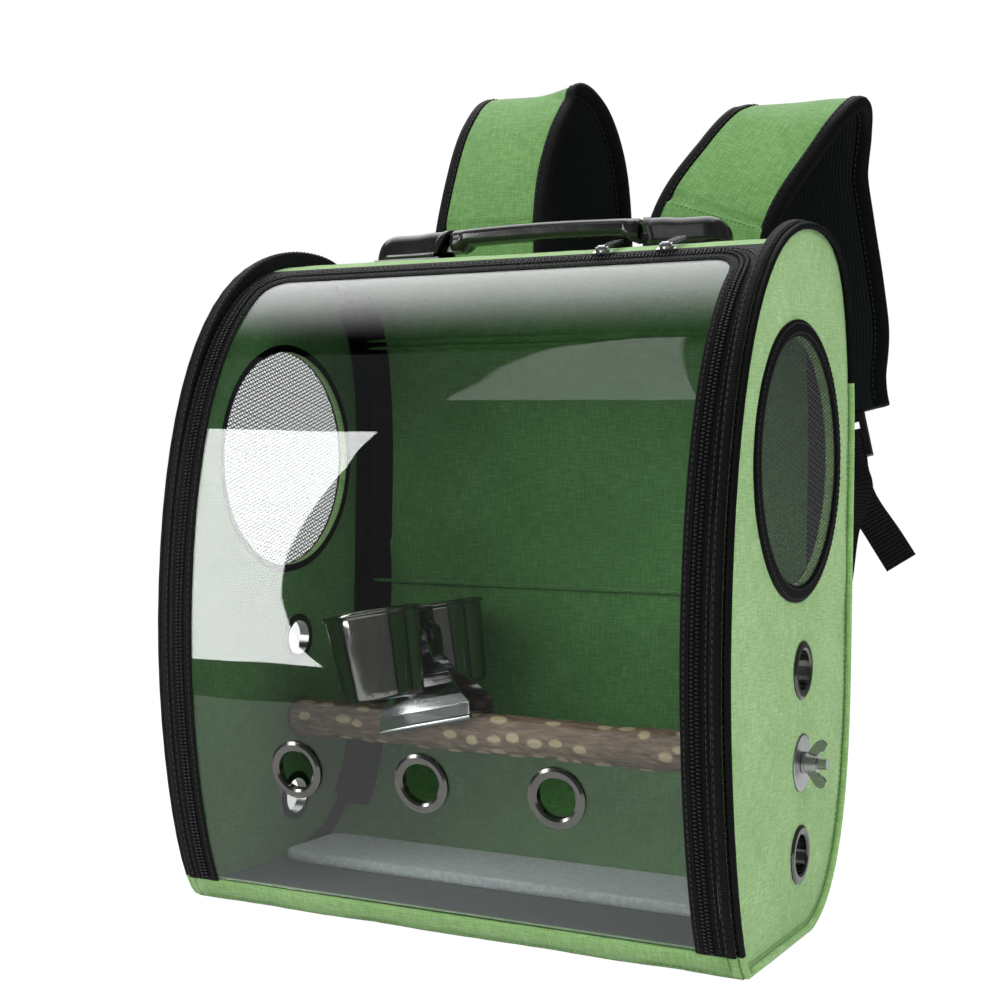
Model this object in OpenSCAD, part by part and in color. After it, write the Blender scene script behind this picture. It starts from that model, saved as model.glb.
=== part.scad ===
// Backpack carrier for a small bird: fabric shell, zipped clear front, wooden
// perch with a sprung clip that holds two steel cups, carrying handle and straps.
// X runs across the two side panels, the clear front faces -Y, +Z is up.
// The origin is the middle of the flat base.

/* [Shell] */
// Width over the two side panels
body_w = 340; // [320:5:380]
// Height of the side panels at their crown
body_h = 396; // [384:2:410]
// Depth from the bulge of the front to the back panel
body_d = 220; // [210:1:232]
// Thickness of the two side panels
side_t = 5; // [3:0.5:7]
// Thickness of the back, top and bottom panels
wall_t = 4; // [3:0.5:5]
// How far the top lies below the crown of the side panels
top_drop = 9; // [6:1:14]
// Height of the bulge of the front
belly_z = 172; // [156:2:190]
// Setback of the crown from the back panel
crown_in = 75; // [66:1:84]
// Setback of the front edge of the base from the bulge
toe_in = 40; // [34:1:48]
// Setback of the rear edge of the base from the back panel
heel_in = 75; // [64:1:84]
// Height at which the back panel straightens above the heel
heel_z = 140; // [120:2:150]
// Drop from the crown to where the back starts to round over
shoulder_drop = 146; // [134:1:154]
// Radius of the piping along the side panels
piping_r = 2; // [1.4:0.1:2.4]

/* [Clear front and zip] */
// Thickness of the clear sheet
sheet_t = 1.2; // [0.8:0.1:1.6]
// Width of the fixed zip tape beside each side panel
tape_w = 5; // [4:0.5:8]
// Width of one zip tooth row
coil_w = 2.3; // [1.8:0.1:2.8]
// Gap between the two tooth rows
coil_gap = 0.4; // [0.3:0.1:0.8]
// Width of the zip tape sewn on the clear sheet
sheet_tape_w = 5.5; // [4:0.5:8]
// Thickness of both zip tapes
tape_t = 0.8; // [0.5:0.1:1.2]
// Height of the zip teeth over the tape
coil_h = 1; // [0.6:0.1:1.4]
// Place of the zip across the top, measured forward from the crown
zip_fore = 60; // [48:1:68]
// Radius of the two upper corners of the zip
zip_r = 24; // [16:1:30]
// Spacing of the three air holes in the clear front
front_hole_pitch = 80; // [64:1:88]
// Height of the air holes in the clear front
front_hole_z = 88; // [70:1:100]

/* [Windows and eyelets] */
// Outer diameter of the window binding
window_d = 154; // [130:2:160]
// Height of the window centres
window_z = 263; // [252:1:270]
// Place of the window centres behind the middle of the base
window_y = 9; // [0:1:14]
// Width of the window binding
window_band = 9; // [7:0.5:12]
// Distance between the strands of the window net
net_pitch = 9; // [8.5:0.5:12]
// Width of a strand of the window net
net_strand = 1.6; // [1:0.1:2.4]
// Hole diameter of the metal eyelets
eyelet_bore = 22; // [18:0.5:24]
// Outer diameter of the metal eyelets
eyelet_d = 32.5; // [31:0.5:36]
// Height of the upper side eyelet
side_hole_high = 148; // [142:1:156]
// Height of the lower side eyelet
side_hole_low = 46; // [38:1:52]

/* [Perch and cups] */
// Height of the perch
perch_z = 97; // [94:1:100]
// Place of the perch behind the middle of the base
perch_y = 22; // [16:1:28]
// Mean diameter of the wooden branch
perch_d = 24; // [22:0.5:26]
// Diameter of the threaded studs of the perch
stud_d = 6; // [5:0.5:7]
// Diameter of the outer washers
washer_d = 32; // [26:1:34]
// Place of the clip along the perch
clip_x = -60; // [-70:1:-50]
// Sideways lean of the clip, degrees
clip_lean = 13; // [8:1:16]
// Length of the clip's two lips
clip_w = 64; // [54:1:68]
// Height of the clip above the perch axis
clip_up = 5; // [3:1:7]
// Height of the clip's pivot above its lips
clip_pivot = 30; // [28:0.5:33]
// Sheet thickness of the clip
clip_t = 1.2; // [1:0.1:1.4]
// Diameter of the clip's pivot pin
pin_d = 3; // [2.6:0.1:3.4]
// Rim diameter of the cups
cup_d = 60; // [54:1:61]
// Diameter of the cups at the bottom
cup_foot_d = 48; // [40:1:50]
// Height of the cups
cup_h = 53; // [46:1:58]
// Wall thickness of the cups
cup_t = 0.8; // [0.6:0.1:1.2]
// Distance of each cup's axis from the perch axis
cup_out = 40; // [38.5:0.5:43]

/* [Handle] */
// Length of the handle over its two end caps
handle_l = 236; // [210:2:252]
// Depth of the handle's base plate
handle_w = 26; // [22:1:30]
// Length of each end cap
cap_l = 53; // [46:1:58]
// Height of the finger gap below the grip
grip_gap = 7; // [6:0.5:9]
// Thickness of the grip
grip_t = 12; // [9:0.5:13]
// How far the grip lifts
grip_lift = 6; // [4:0.5:7]

/* [Straps and floor] */
// Width of the padded shoulder straps
strap_w = 80; // [64:1:84]
// Thickness of the padded shoulder straps
strap_t = 9; // [7:0.5:10]
// Distance of each strap anchor from the middle
strap_x = 80; // [70:1:90]
// Width of the lower webbing
web_w = 25; // [20:1:30]
// Thickness of the lower webbing
web_t = 1.8; // [1.2:0.1:2.4]
// Thickness of the floor board
board_t = 6; // [3:0.5:8]
// Thickness of the mat on the floor board
mat_t = 7; // [4:0.5:9]

/* [Hidden] */

// Colours
leaf_green = "#8DB974";
trim_black = "#1E1E20";
steel = "#B9BCC0";
bark = "#7A5C45";

// Clearances
slack = 0.3;      // between pieces that must not touch
pivot_slack = 0.06; // radial, round a pivot

// Points on each curved stretch of the side outline
toe_n = 10;
front_n = 16;
back_n = 10;
heel_n = 8;

// Outline of the shell seen from the side, as [Y, Z], from the toe of the base
// up the front, over the crown, down the back and round the heel.
front_y = -body_d/2;
back_y = body_d/2;
toe_y = front_y + toe_in;
heel_y = back_y - heel_in;
crown_y = back_y - crown_in;
shoulder_z = body_h - shoulder_drop;
toe_end = toe_n;
crown_i = toe_n + front_n;
shoulder_i = crown_i + back_n;
heel_end = shoulder_i + 1 + heel_n;
sill_i = 2;       // outline point at the top of the front sill
top_i = 19;       // outline point at the front of the top panel
seam_i = 32;      // outline point where the back panel meets the top panel
binding_i = 34;   // outline point where the edge binding ends

// Reach of the outline's curves beyond their ends
toe_pull = 17;
heel_pull = 58;
base_pull = 8;
brow_pull = 103;
nape_pull = 50;
back_pull = 24;
// Points on a cubic curve from a to d, pulled towards b and c, without its last
function curve(a, b, c, d, n) = [for (i = [0:n - 1]) let (t = i/n, s = 1 - t)
    s*s*s*a + 3*s*s*t*b + 3*s*t*t*c + t*t*t*d];
function outline(crown_z) = concat(
    curve([toe_y, 0], [toe_y - toe_pull, base_pull], [front_y, belly_z*0.55], [front_y, belly_z], toe_n),
    curve([front_y, belly_z], [front_y, belly_z + (crown_z - belly_z)*0.6],
          [crown_y - brow_pull, crown_z], [crown_y, crown_z], front_n),
    curve([crown_y, crown_z], [crown_y + nape_pull, crown_z], [back_y, crown_z - back_pull],
          [back_y, shoulder_z], back_n),
    curve([back_y, shoulder_z], [back_y, shoulder_z], [back_y, heel_z], [back_y, heel_z], 1),
    curve([back_y, heel_z], [back_y, heel_z*0.5], [heel_y + heel_pull, base_pull], [heel_y, 0], heel_n),
    [[heel_y, 0]]);
function unit(v) = v/norm(v);
function right_of(v) = [v[1], -v[0]];
// Mitred normals of a closed outline, pointing inwards
function miters(p) = [for (i = [0:len(p) - 1])
    let (n = len(p), a = right_of(unit(p[i] - p[(i + n - 1)%n])),
         b = right_of(unit(p[(i + 1)%n] - p[i])))
    (a + b)/(1 + a*b)];

side = outline(body_h);
side_in = miters(side);
wrap = outline(body_h - top_drop);
wrap_in = miters(wrap);
count = len(side);

// A stretch of outline p from point i to j, between the insets d0 and d1
function stretch(p, m, i, j, d0, d1) = concat(
    [for (k = [i:j]) p[k%count] + m[k%count]*d0],
    [for (k = [j:-1:i]) p[k%count] + m[k%count]*d1]);
function inset(p, m, d) = [for (k = [0:count - 1]) p[k] + m[k]*d];

half_w = body_w/2;
inner_x = half_w - side_t;
leg_t = 1;                            // inner leg of the edge binding
leg_h = top_drop + wall_t + 2;
wrap_x = inner_x - leg_t;             // half width of what lies between the bindings
zip_y = crown_y - zip_fore;
teeth_x = wrap_x - tape_w;            // outer edge of the fixed tooth row
mid_x = teeth_x - coil_w;             // inner edge of the fixed tooth row
front_teeth_x = mid_x - coil_gap;
sheet_tape_x = front_teeth_x - coil_w;
top_tape_w = tape_w + 3;
top_lap = 3;      // start of the top panel behind the zip

// Height of the outer face of the top at the place y, between two outline points
function top_z(y, k = crown_i - 8) = wrap[k + 1][0] >= y || k > seam_i
    ? wrap[k][1] + (y - wrap[k][0])*(wrap[k + 1][1] - wrap[k][1])/(wrap[k + 1][0] - wrap[k][0])
    : top_z(y, k + 1);

// ---- general shapes ----
// Extrudes a [Y, Z] outline along X
module across(p, x0, x1) translate([x0, 0, 0]) rotate([90, 0, 90]) linear_extrude(x1 - x0) polygon(p);
// Lays a shape turned about Z down along +X at the place y, z
module on_side(x, y, z, right = true) translate([x, y, z]) rotate([0, right ? 90 : -90, 0]) children();
// Copies a shape made for the right side to the side s, 1 or -1
module side_of(s) if (s > 0) children(); else mirror([1, 0, 0]) children();
module arc_ring(r_out, r_in, z0, z1) rotate_extrude($fn = 96) translate([r_in, z0]) square([r_out - r_in, z1 - z0]);

// Triangles between rings of points; open skins get flat ends
module skin(rings, loop = false) {
    n = len(rings);
    m = len(rings[0]);
    polyhedron(
        points = [for (r = rings) for (q = r) q],
        faces = concat(
            [for (i = [0:n - (loop ? 1 : 2)]) for (j = [0:m - 1])
                let (a = i*m + j, b = i*m + (j + 1)%m, c = ((i + 1)%n)*m + j, d = ((i + 1)%n)*m + (j + 1)%m)
                each [[a, b, d], [a, d, c]]],
            loop ? [] : [for (j = [1:m - 2]) [0, j + 1, j]],
            loop ? [] : [for (j = [1:m - 2]) [(n - 1)*m, (n - 1)*m + j, (n - 1)*m + j + 1]]));
}
// Smooth points through the hand-set points p, k steps between each two
function smooth(p, k) = concat([for (i = [0:len(p) - 2]) for (s = [0:k - 1])
    let (t = s/k, a = p[max(i - 1, 0)], b = p[i], c = p[i + 1], d = p[min(i + 2, len(p) - 1)])
    0.5*(2*b + (c - a)*t + (2*a - 5*b + 4*c - d)*t*t + (3*b - a - 3*c + d)*t*t*t)], [p[len(p) - 1]]);
// Flat band along the points p, its width kept near X; w is one width or one per point
module band(p, w, t) {
    edge = t*0.3;
    skin([for (i = [0:len(p) - 1]) let (
        way = unit(p[min(i + 1, len(p) - 1)] - p[max(i - 1, 0)]),
        across_way = unit([1, 0, 0] - way[0]*way),
        up = cross(way, across_way),
        h = (is_list(w) ? w[i] : w)/2)
        [for (q = [[-h, -t/2 + edge], [-h, t/2 - edge], [-h + edge*2, t/2], [h - edge*2, t/2],
                   [h, t/2 - edge], [h, -t/2 + edge], [h - edge*2, -t/2], [-h + edge*2, -t/2]])
            p[i] + across_way*q[0] + up*q[1]]]);
}

// ---- shell ----
module bottom_panel() color(leaf_green)
    across(stretch(wrap, wrap_in, heel_end, count + sill_i, 0, wall_t), -inner_x, inner_x);

module back_panel() color(leaf_green)
    across(stretch(wrap, wrap_in, seam_i, heel_end, 0, wall_t), -wrap_x, wrap_x);

module top_panel() color(leaf_green) intersection() {
    across(stretch(wrap, wrap_in, top_i, seam_i, 0, wall_t), -wrap_x, wrap_x);
    translate([-half_w, zip_y + top_lap, 0]) cube([body_w, body_d, body_h]);
}

module side_panel(s) side_of(s) difference() {
    across(side, inner_x, half_w);
    on_side(inner_x - 1, window_y, window_z) cylinder(h = side_t + 2, d = window_d - 2*window_band + 2, $fn = 96);
    for (z = [side_hole_low, side_hole_high])
        on_side(inner_x - 1, perch_y, z) cylinder(h = side_t + 2, r = barrel_r + slack, $fn = 64);
    on_side(inner_x - 1, perch_y, perch_z) cylinder(h = side_t + 2, d = stud_d + 2*slack, $fn = 48);
}
module left_side_panel() color(leaf_green) side_panel(-1);
module right_side_panel() color(leaf_green) side_panel(1);

// Folded black binding over the front and top edge of a side panel
module edge_binding(s) side_of(s) {
    across(stretch(side, side_in, sill_i, heel_end, 0, leg_h), wrap_x, inner_x);
    across(stretch(side, side_in, sill_i, binding_i, -tape_t, leg_h), wrap_x, inner_x);
    across(stretch(side, side_in, sill_i, binding_i, -tape_t, 0), wrap_x, half_w);
}
module left_edge_binding() color(trim_black) edge_binding(-1);
module right_edge_binding() color(trim_black) edge_binding(1);

// Round piping sewn along the outer edge of a side panel
module piping(s) side_of(s) {
    sides = 8;
    skin([for (k = [0:count - 1]) let (c = side[k] + side_in[k]*(piping_r + slack + 0.2), out = unit(side_in[k]))
        [for (j = [0:sides - 1]) let (a = 360*j/sides + 180/sides,
            v = c - out*piping_r*sin(a)/cos(180/sides))
            [half_w + piping_r + piping_r*cos(a)/cos(180/sides), v[0], v[1]]]], loop = true);
}
module left_piping() color(leaf_green) piping(-1);
module right_piping() color(leaf_green) piping(1);

module left_back_binding() color(trim_black) back_binding(-1);
module right_back_binding() color(trim_black) back_binding(1);
module back_binding(s) side_of(s) {
    across(stretch(wrap, wrap_in, shoulder_i - 3, shoulder_i + 2, wall_t, wall_t + tape_t), wrap_x - fold_w, wrap_x);
    across(stretch(wrap, wrap_in, shoulder_i - 3, shoulder_i + 2, wall_t, wall_t + fold_w), wrap_x - tape_t, wrap_x);
}
fold_w = 18;      // width of each leg of the folded binding in the rear corners

module sill_binding() color(trim_black)
    across(stretch(wrap, wrap_in, sill_i - 1, sill_i, -tape_t, 0), -inner_x, inner_x);

// ---- windows ----
window_in = window_d/2 - window_band;
net_t = 0.8;
ring_t = 2.4;
net_r = window_in + window_band/2;
net_n = floor(window_in/net_pitch);
module window_net(s) side_of(s) on_side(half_w, window_y, window_z) linear_extrude(net_t) difference() {
    circle(r = net_r, $fn = 96);
    for (i = [-net_n:net_n]) for (j = [-net_n:net_n])
        if (norm([i, j])*net_pitch + net_pitch*0.7 < window_in)
            translate([i, j]*net_pitch) square(net_pitch - net_strand, center = true);
}
module left_window_net() color(trim_black) window_net(-1);
module right_window_net() color(trim_black) window_net(1);

// Rounded fabric ring that laps over the rim of the net
module window_ring(s) side_of(s) on_side(half_w, window_y, window_z) rotate_extrude($fn = 96) polygon([
    [net_r, 0], [window_d/2, 0], [window_d/2, ring_t*0.5], [window_d/2 - 1.5, ring_t],
    [window_in + 1.5, ring_t], [window_in, ring_t*0.7], [window_in, net_t], [net_r, net_t]]);
module left_window_ring() color(trim_black) window_ring(-1);
module right_window_ring() color(trim_black) window_ring(1);

// ---- eyelets ----
barrel_t = 0.8;
barrel_r = eyelet_bore/2 + barrel_t;
rim_t = 1.6;
// Domed flange outside, barrel through a wall of thickness t, flat washer inside
module eyelet(t) rotate_extrude($fn = 64) polygon([
    [eyelet_bore/2, rim_t*0.5], [eyelet_bore/2 + 1.4, rim_t], [eyelet_d/2 - 1.6, rim_t],
    [eyelet_d/2, rim_t*0.4], [eyelet_d/2, 0], [barrel_r, 0], [barrel_r, -t],
    [eyelet_d/2 - 1, -t], [eyelet_d/2 - 1, -t - 1], [eyelet_bore/2, -t - 1]]);
module side_eyelets(s) side_of(s) for (z = [side_hole_low, side_hole_high])
    on_side(half_w, perch_y, z) eyelet(side_t);
module left_eyelets() color(steel) side_eyelets(-1);
module right_eyelets() color(steel) side_eyelets(1);

// ---- clear front and zip ----
// Plan of the zip: straight sides at x, rounded corners of radius r, back edge at y
module zip_plan(x, y, r) linear_extrude(body_h + 50) polygon(concat(
    [[-x, -body_d], [x, -body_d]],
    [for (a = [0:9:90]) [x - r + r*cos(a), y - r + r*sin(a)]],
    [for (a = [90:9:180]) [-x + r + r*cos(a), y - r + r*sin(a)]]));
// Part of the front skin between the insets d0 and d1 and two plans
module front_layer(i, d0, d1, x_out, x_in) {
    step = x_out - x_in;
    shift = x_out - teeth_x;
    difference() {
        intersection() {
            across(stretch(front, wrap_in, i, crown_i + 2, d0, d1), -wrap_x, wrap_x);
            zip_plan(x_out, zip_y + shift, zip_r + shift);
        }
        if (x_in > 0) zip_plan(x_in, zip_y + shift - step, zip_r + shift - step);
    }
}
module zip_tape_fixed() color(trim_black) difference() {
    intersection() {
        across(stretch(wrap, wrap_in, sill_i, crown_i + 2, -tape_t, 0), -wrap_x, wrap_x);
        translate([-half_w, -body_d, 0]) cube([body_w, body_d + zip_y + top_tape_w, body_h]);
    }
    zip_plan(teeth_x, zip_y, zip_r);
}
module zip_teeth_fixed() color(trim_black)
    front_layer(sill_i, -tape_t - coil_h, 0, teeth_x, mid_x);

// The clear front swings about a line on the outer face of the sill binding
hinge_gap = 0.5;
hinge = wrap[sill_i] - wrap_in[sill_i]*tape_t;
front = [for (k = [0:count - 1]) k == sill_i ? wrap[k] + unit(wrap[k + 1] - wrap[k])*hinge_gap : wrap[k]];
module hole_row() for (x = [-1:1]) translate([x*front_hole_pitch, front_hole_y, front_hole_z])
    rotate([90 + front_tilt, 0, 0]) children();
module front_sheet() color("#DDEBDD", 0.35) difference() {
    front_layer(sill_i, 0, sheet_t, front_teeth_x - 1, 0);
    hole_row() cylinder(h = 20, r = barrel_r + 0.1, center = true, $fn = 64);
}
module zip_tape_front() color(trim_black)
    front_layer(sill_i + 1, -tape_t, 0, sheet_tape_x, sheet_tape_x - sheet_tape_w);
module zip_teeth_front() color(trim_black)
    front_layer(sill_i + 1, -tape_t - coil_h, 0, front_teeth_x, sheet_tape_x);

// Outline point just below the front air holes, and the place and tilt of the sheet there
function below(z, k = 1) = wrap[k + 1][1] > z ? k : below(z, k + 1);
hole_i = below(front_hole_z);
hole_edge = wrap[hole_i + 1] - wrap[hole_i];
front_hole_y = wrap[hole_i][0] + hole_edge[0]*(front_hole_z - wrap[hole_i][1])/hole_edge[1];
front_tilt = atan(-hole_edge[0]/hole_edge[1]);
module front_eyelets() color(steel) hole_row() translate([0, 0, bulge]) eyelet(sheet_t + 2*bulge);
bulge = 0.5;      // stand-off of the flat flanges from the curved sheet

// ---- zip sliders and pulls, on the zip across the top ----
slider_l = 11;
slider_x = [66, 104];
pull_l = 26;
slope = atan2(top_z(zip_y + 4) - top_z(zip_y - 4), 8);
// Places a shape on the slope of the top at the zip: local X along the zip, Y uphill
module at_zip(x) translate([x, zip_y, top_z(zip_y)]) rotate([slope, 0, 0]) children();
slider_low = tape_t + coil_h + slack;
module zip_sliders() color("#3A3B3E") for (x = slider_x) at_zip(x) {
    translate([-slider_l/2, 0.2, slider_low]) cube([slider_l, 5.2, 1.2]);
    translate([-slider_l/2, coil_w + 1.2, tape_t + 0.05]) cube([slider_l, 2.2, slider_low - tape_t]);
    for (dx = [-3.6, 2.4]) translate([dx, 1.6, slider_low + 1]) cube([1.2, 2.4, 2.6]);
    translate([-3.6, 2.8, slider_low + 3.2]) rotate([0, 90, 0]) cylinder(h = 7.2, r = 0.6, $fn = 24);
}
pull_z = slider_low + 3.2;
// Pull tab that swings on the slider's cross pin and lies back on the top
module zip_pull(x) at_zip(x) translate([0, 2.8, pull_z]) rotate([-8, 0, 0]) difference() {
    union() {
        rotate([0, 90, 0]) cylinder(h = 4.4, r = 1.5, center = true, $fn = 32);
        translate([-2.2, 0, -0.7]) cube([4.4, 8, 1.4]);
        translate([-3, 7, -0.8]) cube([6, pull_l - 10, 1.6]);
        translate([0, pull_l - 3, -0.8]) cylinder(h = 1.6, r = 3, $fn = 32);
    }
    rotate([0, 90, 0]) cylinder(h = 8, r = 0.6 + pivot_slack, center = true, $fn = 24);
    translate([0, pull_l - 3, -2]) cylinder(h = 4, r = 1.2, $fn = 24);
}
module left_zip_pull() color(trim_black) zip_pull(slider_x[0]);
module right_zip_pull() color(trim_black) zip_pull(slider_x[1]);

// ---- floor ----
floor_z = wall_t;
floor_front = toe_y - 2;
floor_back = heel_y + 16;
mat_in = 8;
mat_front = -6;
mat_r = 14;
module round_plate(x, y0, y1, r, t) linear_extrude(t) polygon(concat(
    [for (a = [0:15:90]) [x - r + r*cos(a), y1 - r + r*sin(a)]],
    [for (a = [90:15:180]) [-x + r + r*cos(a), y1 - r + r*sin(a)]],
    [for (a = [180:15:270]) [-x + r + r*cos(a), y0 + r + r*sin(a)]],
    [for (a = [270:15:360]) [x - r + r*cos(a), y0 + r + r*sin(a)]]));
module in_shell() intersection() {
    children();
    across(inset(wrap, wrap_in, wall_t + slack/2), -inner_x, inner_x);
}
module floor_board() color("#4A4D4A") in_shell()
    translate([0, 0, floor_z]) round_plate(inner_x - 3, floor_front, floor_back, 6, board_t);
module floor_mat() color("#B4B8BC") in_shell()
    translate([0, 0, floor_z + board_t]) round_plate(inner_x - mat_in, mat_front, floor_back + 8, mat_r, mat_t);

// ---- handle ----
handle_y = crown_y + 7;
plate_t = 3;
plate_z = top_z(handle_y) + plate_t;
cap_tail = handle_l/2 - cap_l;    // inner end of each cap
cap_h = grip_gap + grip_t - 2;
grip_z = plate_z + grip_gap;
tongue_l = 16;    // length of the grip's tongue inside each cap
tongue_t = 5;
tongue_z = plate_z + 3.2;
tongue_w = 12;
slot_slack = 0.4;
screw_x = [-handle_l/2 + 14, handle_l/2 - 14];
module handle_base() color(trim_black) difference() {
    for (s = [-1, 1]) side_of(s) translate([cap_tail + 4, handle_y - handle_w/2, plate_z - 12])
        cube([cap_l - 6, handle_w, 12]);
    across(wrap, -half_w, half_w);
    for (x = screw_x) translate([x, handle_y, plate_z - 20]) cylinder(h = 30, d = 3.4, $fn = 32);
}
// Moulded end cap: rounded nose, raked inner end, sloping flanks, a slot for the tongue
module handle_cap(s) side_of(s) {
    nose = handle_l/2;
    difference() {
        intersection() {
            translate([0, handle_y + handle_w/2, plate_z]) rotate([90, 0, 0]) linear_extrude(handle_w) polygon(concat(
                [[cap_tail + 8, 0], [nose - 2, 0]],
                [for (a = [0:15:75]) [nose - 9 + 9*cos(a), cap_h*0.4 + (cap_h*0.6 - 2.5)*sin(a)]],
                [[cap_tail + 26, cap_h - 1], [cap_tail + 14, cap_h], [cap_tail, cap_h]]));
            across([[handle_y - handle_w/2, plate_z], [handle_y - handle_w/2 + 0.5, plate_z + 5],
                    [handle_y - handle_w/2 + 4.5, plate_z + cap_h], [handle_y + handle_w/2 - 4.5, plate_z + cap_h],
                    [handle_y + handle_w/2 - 0.5, plate_z + 5], [handle_y + handle_w/2, plate_z]], 0, nose + 1);
        }
        translate([cap_tail - 1, handle_y - tongue_w/2 - slot_slack, tongue_z - slot_slack])
            cube([tongue_l + 1 + slot_slack, tongue_w + 2*slot_slack, tongue_t + grip_lift + 2*slot_slack]);
        translate([screw_x[1], handle_y, plate_z - 1]) cylinder(h = 40, d = 3.4, $fn = 32);
        translate([screw_x[1], handle_y, plate_z + 4]) cylinder(h = 40, d = 6.6, $fn = 32);
    }
}
module left_handle_cap() color(trim_black) handle_cap(-1);
module right_handle_cap() color(trim_black) handle_cap(1);
// Arched grip with deep ends; its tongues ride up and down in the slots of the caps
arch = 1.5;
grip_end = cap_tail - 2;
module handle_grip() color(trim_black) {
    reach = cap_tail + tongue_l;
    intersection() {
        translate([0, handle_y + handle_w/2, grip_z]) rotate([90, 0, 0]) linear_extrude(handle_w) polygon(concat(
            [for (x = [-8:8]) [x/8*grip_end, grip_t - arch*x*x/64]],
            [[grip_end, tongue_z + tongue_t - grip_z], [reach, tongue_z + tongue_t - grip_z],
             [reach, tongue_z - grip_z], [grip_end - 3, tongue_z - grip_z]],
            [for (x = [6:-1:-6]) [x/7*grip_end, arch*0.6*(1 - x*x/49)]],
            [[-grip_end + 3, tongue_z - grip_z], [-reach, tongue_z - grip_z],
             [-reach, tongue_z + tongue_t - grip_z], [-grip_end, tongue_z + tongue_t - grip_z]]));
        union() {
            translate([-reach, handle_y - tongue_w/2, tongue_z - 1]) cube([2*reach, tongue_w, 30]);
            translate([-grip_end, handle_y - handle_w/2 + 2, tongue_z - 1]) cube([2*grip_end, handle_w - 4, 30]);
        }
        across([[handle_y - handle_w/2 + 2, grip_z + 3], [handle_y - handle_w/2 + 3, grip_z + grip_t*0.6],
                [handle_y - handle_w/2 + 7, grip_z + grip_t + 1], [handle_y + handle_w/2 - 7, grip_z + grip_t + 1],
                [handle_y + handle_w/2 - 3, grip_z + grip_t*0.6], [handle_y + handle_w/2 - 2, grip_z + 3],
                [handle_y + handle_w/2 - 5, tongue_z - 1], [handle_y - handle_w/2 + 5, tongue_z - 1]], -half_w, half_w);
    }
}
module handle_screws() color(steel) for (x = screw_x) translate([x, handle_y, 0]) {
    translate([0, 0, plate_z - plate_t + 0.2]) cylinder(h = plate_t + 4, d = 3, $fn = 32);
    translate([0, 0, plate_z + 4]) cylinder(h = 2, d = 6, $fn = 32);
}

// ---- perch ----
inner_washer_t = 1.5;
outer_washer_t = 1.4;
branch_end = inner_x - inner_washer_t - 0.2;
branch_n = 36;
branch_sides = 12;
// Radius of the branch along its length and round it: knots and hollows
function bark_r(x, a) = perch_d/2*(1 + 0.035*sin(x*3.1 + a) + 0.03*sin(x*7.7 + 2*a) + 0.02*cos(x*1.3 - 3*a));
module perch_branch() color(bark) difference() {
    branch_skin();
    each_side() on_side(branch_end - stud_in - 0.2, perch_y, perch_z) cylinder(h = 30, r = stud_d/2 + 0.03, $fn = 48);
}
module branch_skin() skin([for (i = [0:branch_n]) let (x = -branch_end + 2*branch_end*i/branch_n)
    [for (j = [0:branch_sides - 1]) let (a = 360*j/branch_sides)
        [x, perch_y + bark_r(x, a)*cos(a), perch_z + bark_r(x, a)*sin(a)]]]);
stud_in = 14;
stud_end = half_w + 15;
module each_side() for (s = [-1, 1]) side_of(s) children();
module perch_studs() color(steel) each_side() on_side(branch_end - stud_in, perch_y, perch_z)
    cylinder(h = stud_end - branch_end + stud_in, d = stud_d, $fn = 48);
module perch_inner_washers() color(steel) each_side() on_side(inner_x - inner_washer_t, perch_y, perch_z)
    arc_ring(11, stud_d/2 + slack, 0, inner_washer_t);
module perch_outer_washers() color(steel) each_side() on_side(half_w, perch_y, perch_z) rotate_extrude($fn = 96)
    polygon([[stud_d/2 + slack, 0], [washer_d/2, 0], [washer_d/2, outer_washer_t*0.7], [washer_d/2 - 1, outer_washer_t],
             [stud_d/2 + slack, outer_washer_t]]);
nut_x = half_w + outer_washer_t + slack;
nut_h = 8;
module wing_nut(s) side_of(s) on_side(nut_x, perch_y, perch_z) difference() {
    union() {
        rotate_extrude($fn = 48) polygon([[0, 0], [6, 0], [6, 2], [5, nut_h], [0, nut_h]]);
        for (turn = [0, 180]) rotate([0, 0, turn]) rotate([90, 0, 0]) translate([0, 0, -1.25]) linear_extrude(2.5)
            union() {
                polygon([[0, 1], [4, 1], [12, 7], [9, 12], [3, 6], [0, 6]]);
                translate([10, 9.6]) circle(r = 3.2, $fn = 32);
            }
    }
    translate([0, 0, -1]) cylinder(h = 20, r = stud_d/2 + pivot_slack, $fn = 48);
}
module left_wing_nut() color(steel) wing_nut(-1);
module right_wing_nut() color(steel) wing_nut(1);

// ---- clip: a sprung jaw pair that straddles the perch ----
// Local frame at the perch axis: X along the lips, Z up the clip, leaning sideways
module at_clip() translate([clip_x, perch_y, perch_z + clip_up]) rotate([0, -clip_lean, 0]) children();
lip_r = 2.2;
// Widest half of the branch between the lips
lip_bark = max([for (x = [clip_x - clip_w/2:4:clip_x + clip_w/2]) for (a = [-30:10:30])
    each [bark_r(x, a)*cos(a), bark_r(x, 180 - a)*cos(a)]]);
lip_y = lip_bark + lip_r + slack;
lug_r = pin_d/2 + 2.2;
lever_top = clip_pivot + 30;
lever_y = 9;
// Jaw profile as [distance out from the perch plane, height]
jaw_way = [[lip_y + 1, 1], [lip_y - 1, 8], [lip_y - 3, 18], [lug_r + 1, clip_pivot - 3],
           [lug_r + 0.4, clip_pivot], [lug_r + 1, clip_pivot + 4], [lever_y, lever_top - 10], [lever_y, lever_top]];
jaw_line = smooth(jaw_way, 3);
jaw_n = len(jaw_line);
function jaw_face() = [for (i = [0:jaw_n - 1])
    jaw_line[i] + right_of(unit(jaw_line[min(i + 1, jaw_n - 1)] - jaw_line[max(i - 1, 0)]))*clip_t];
function reversed(p) = [for (i = [len(p) - 1:-1:0]) p[i]];
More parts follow.
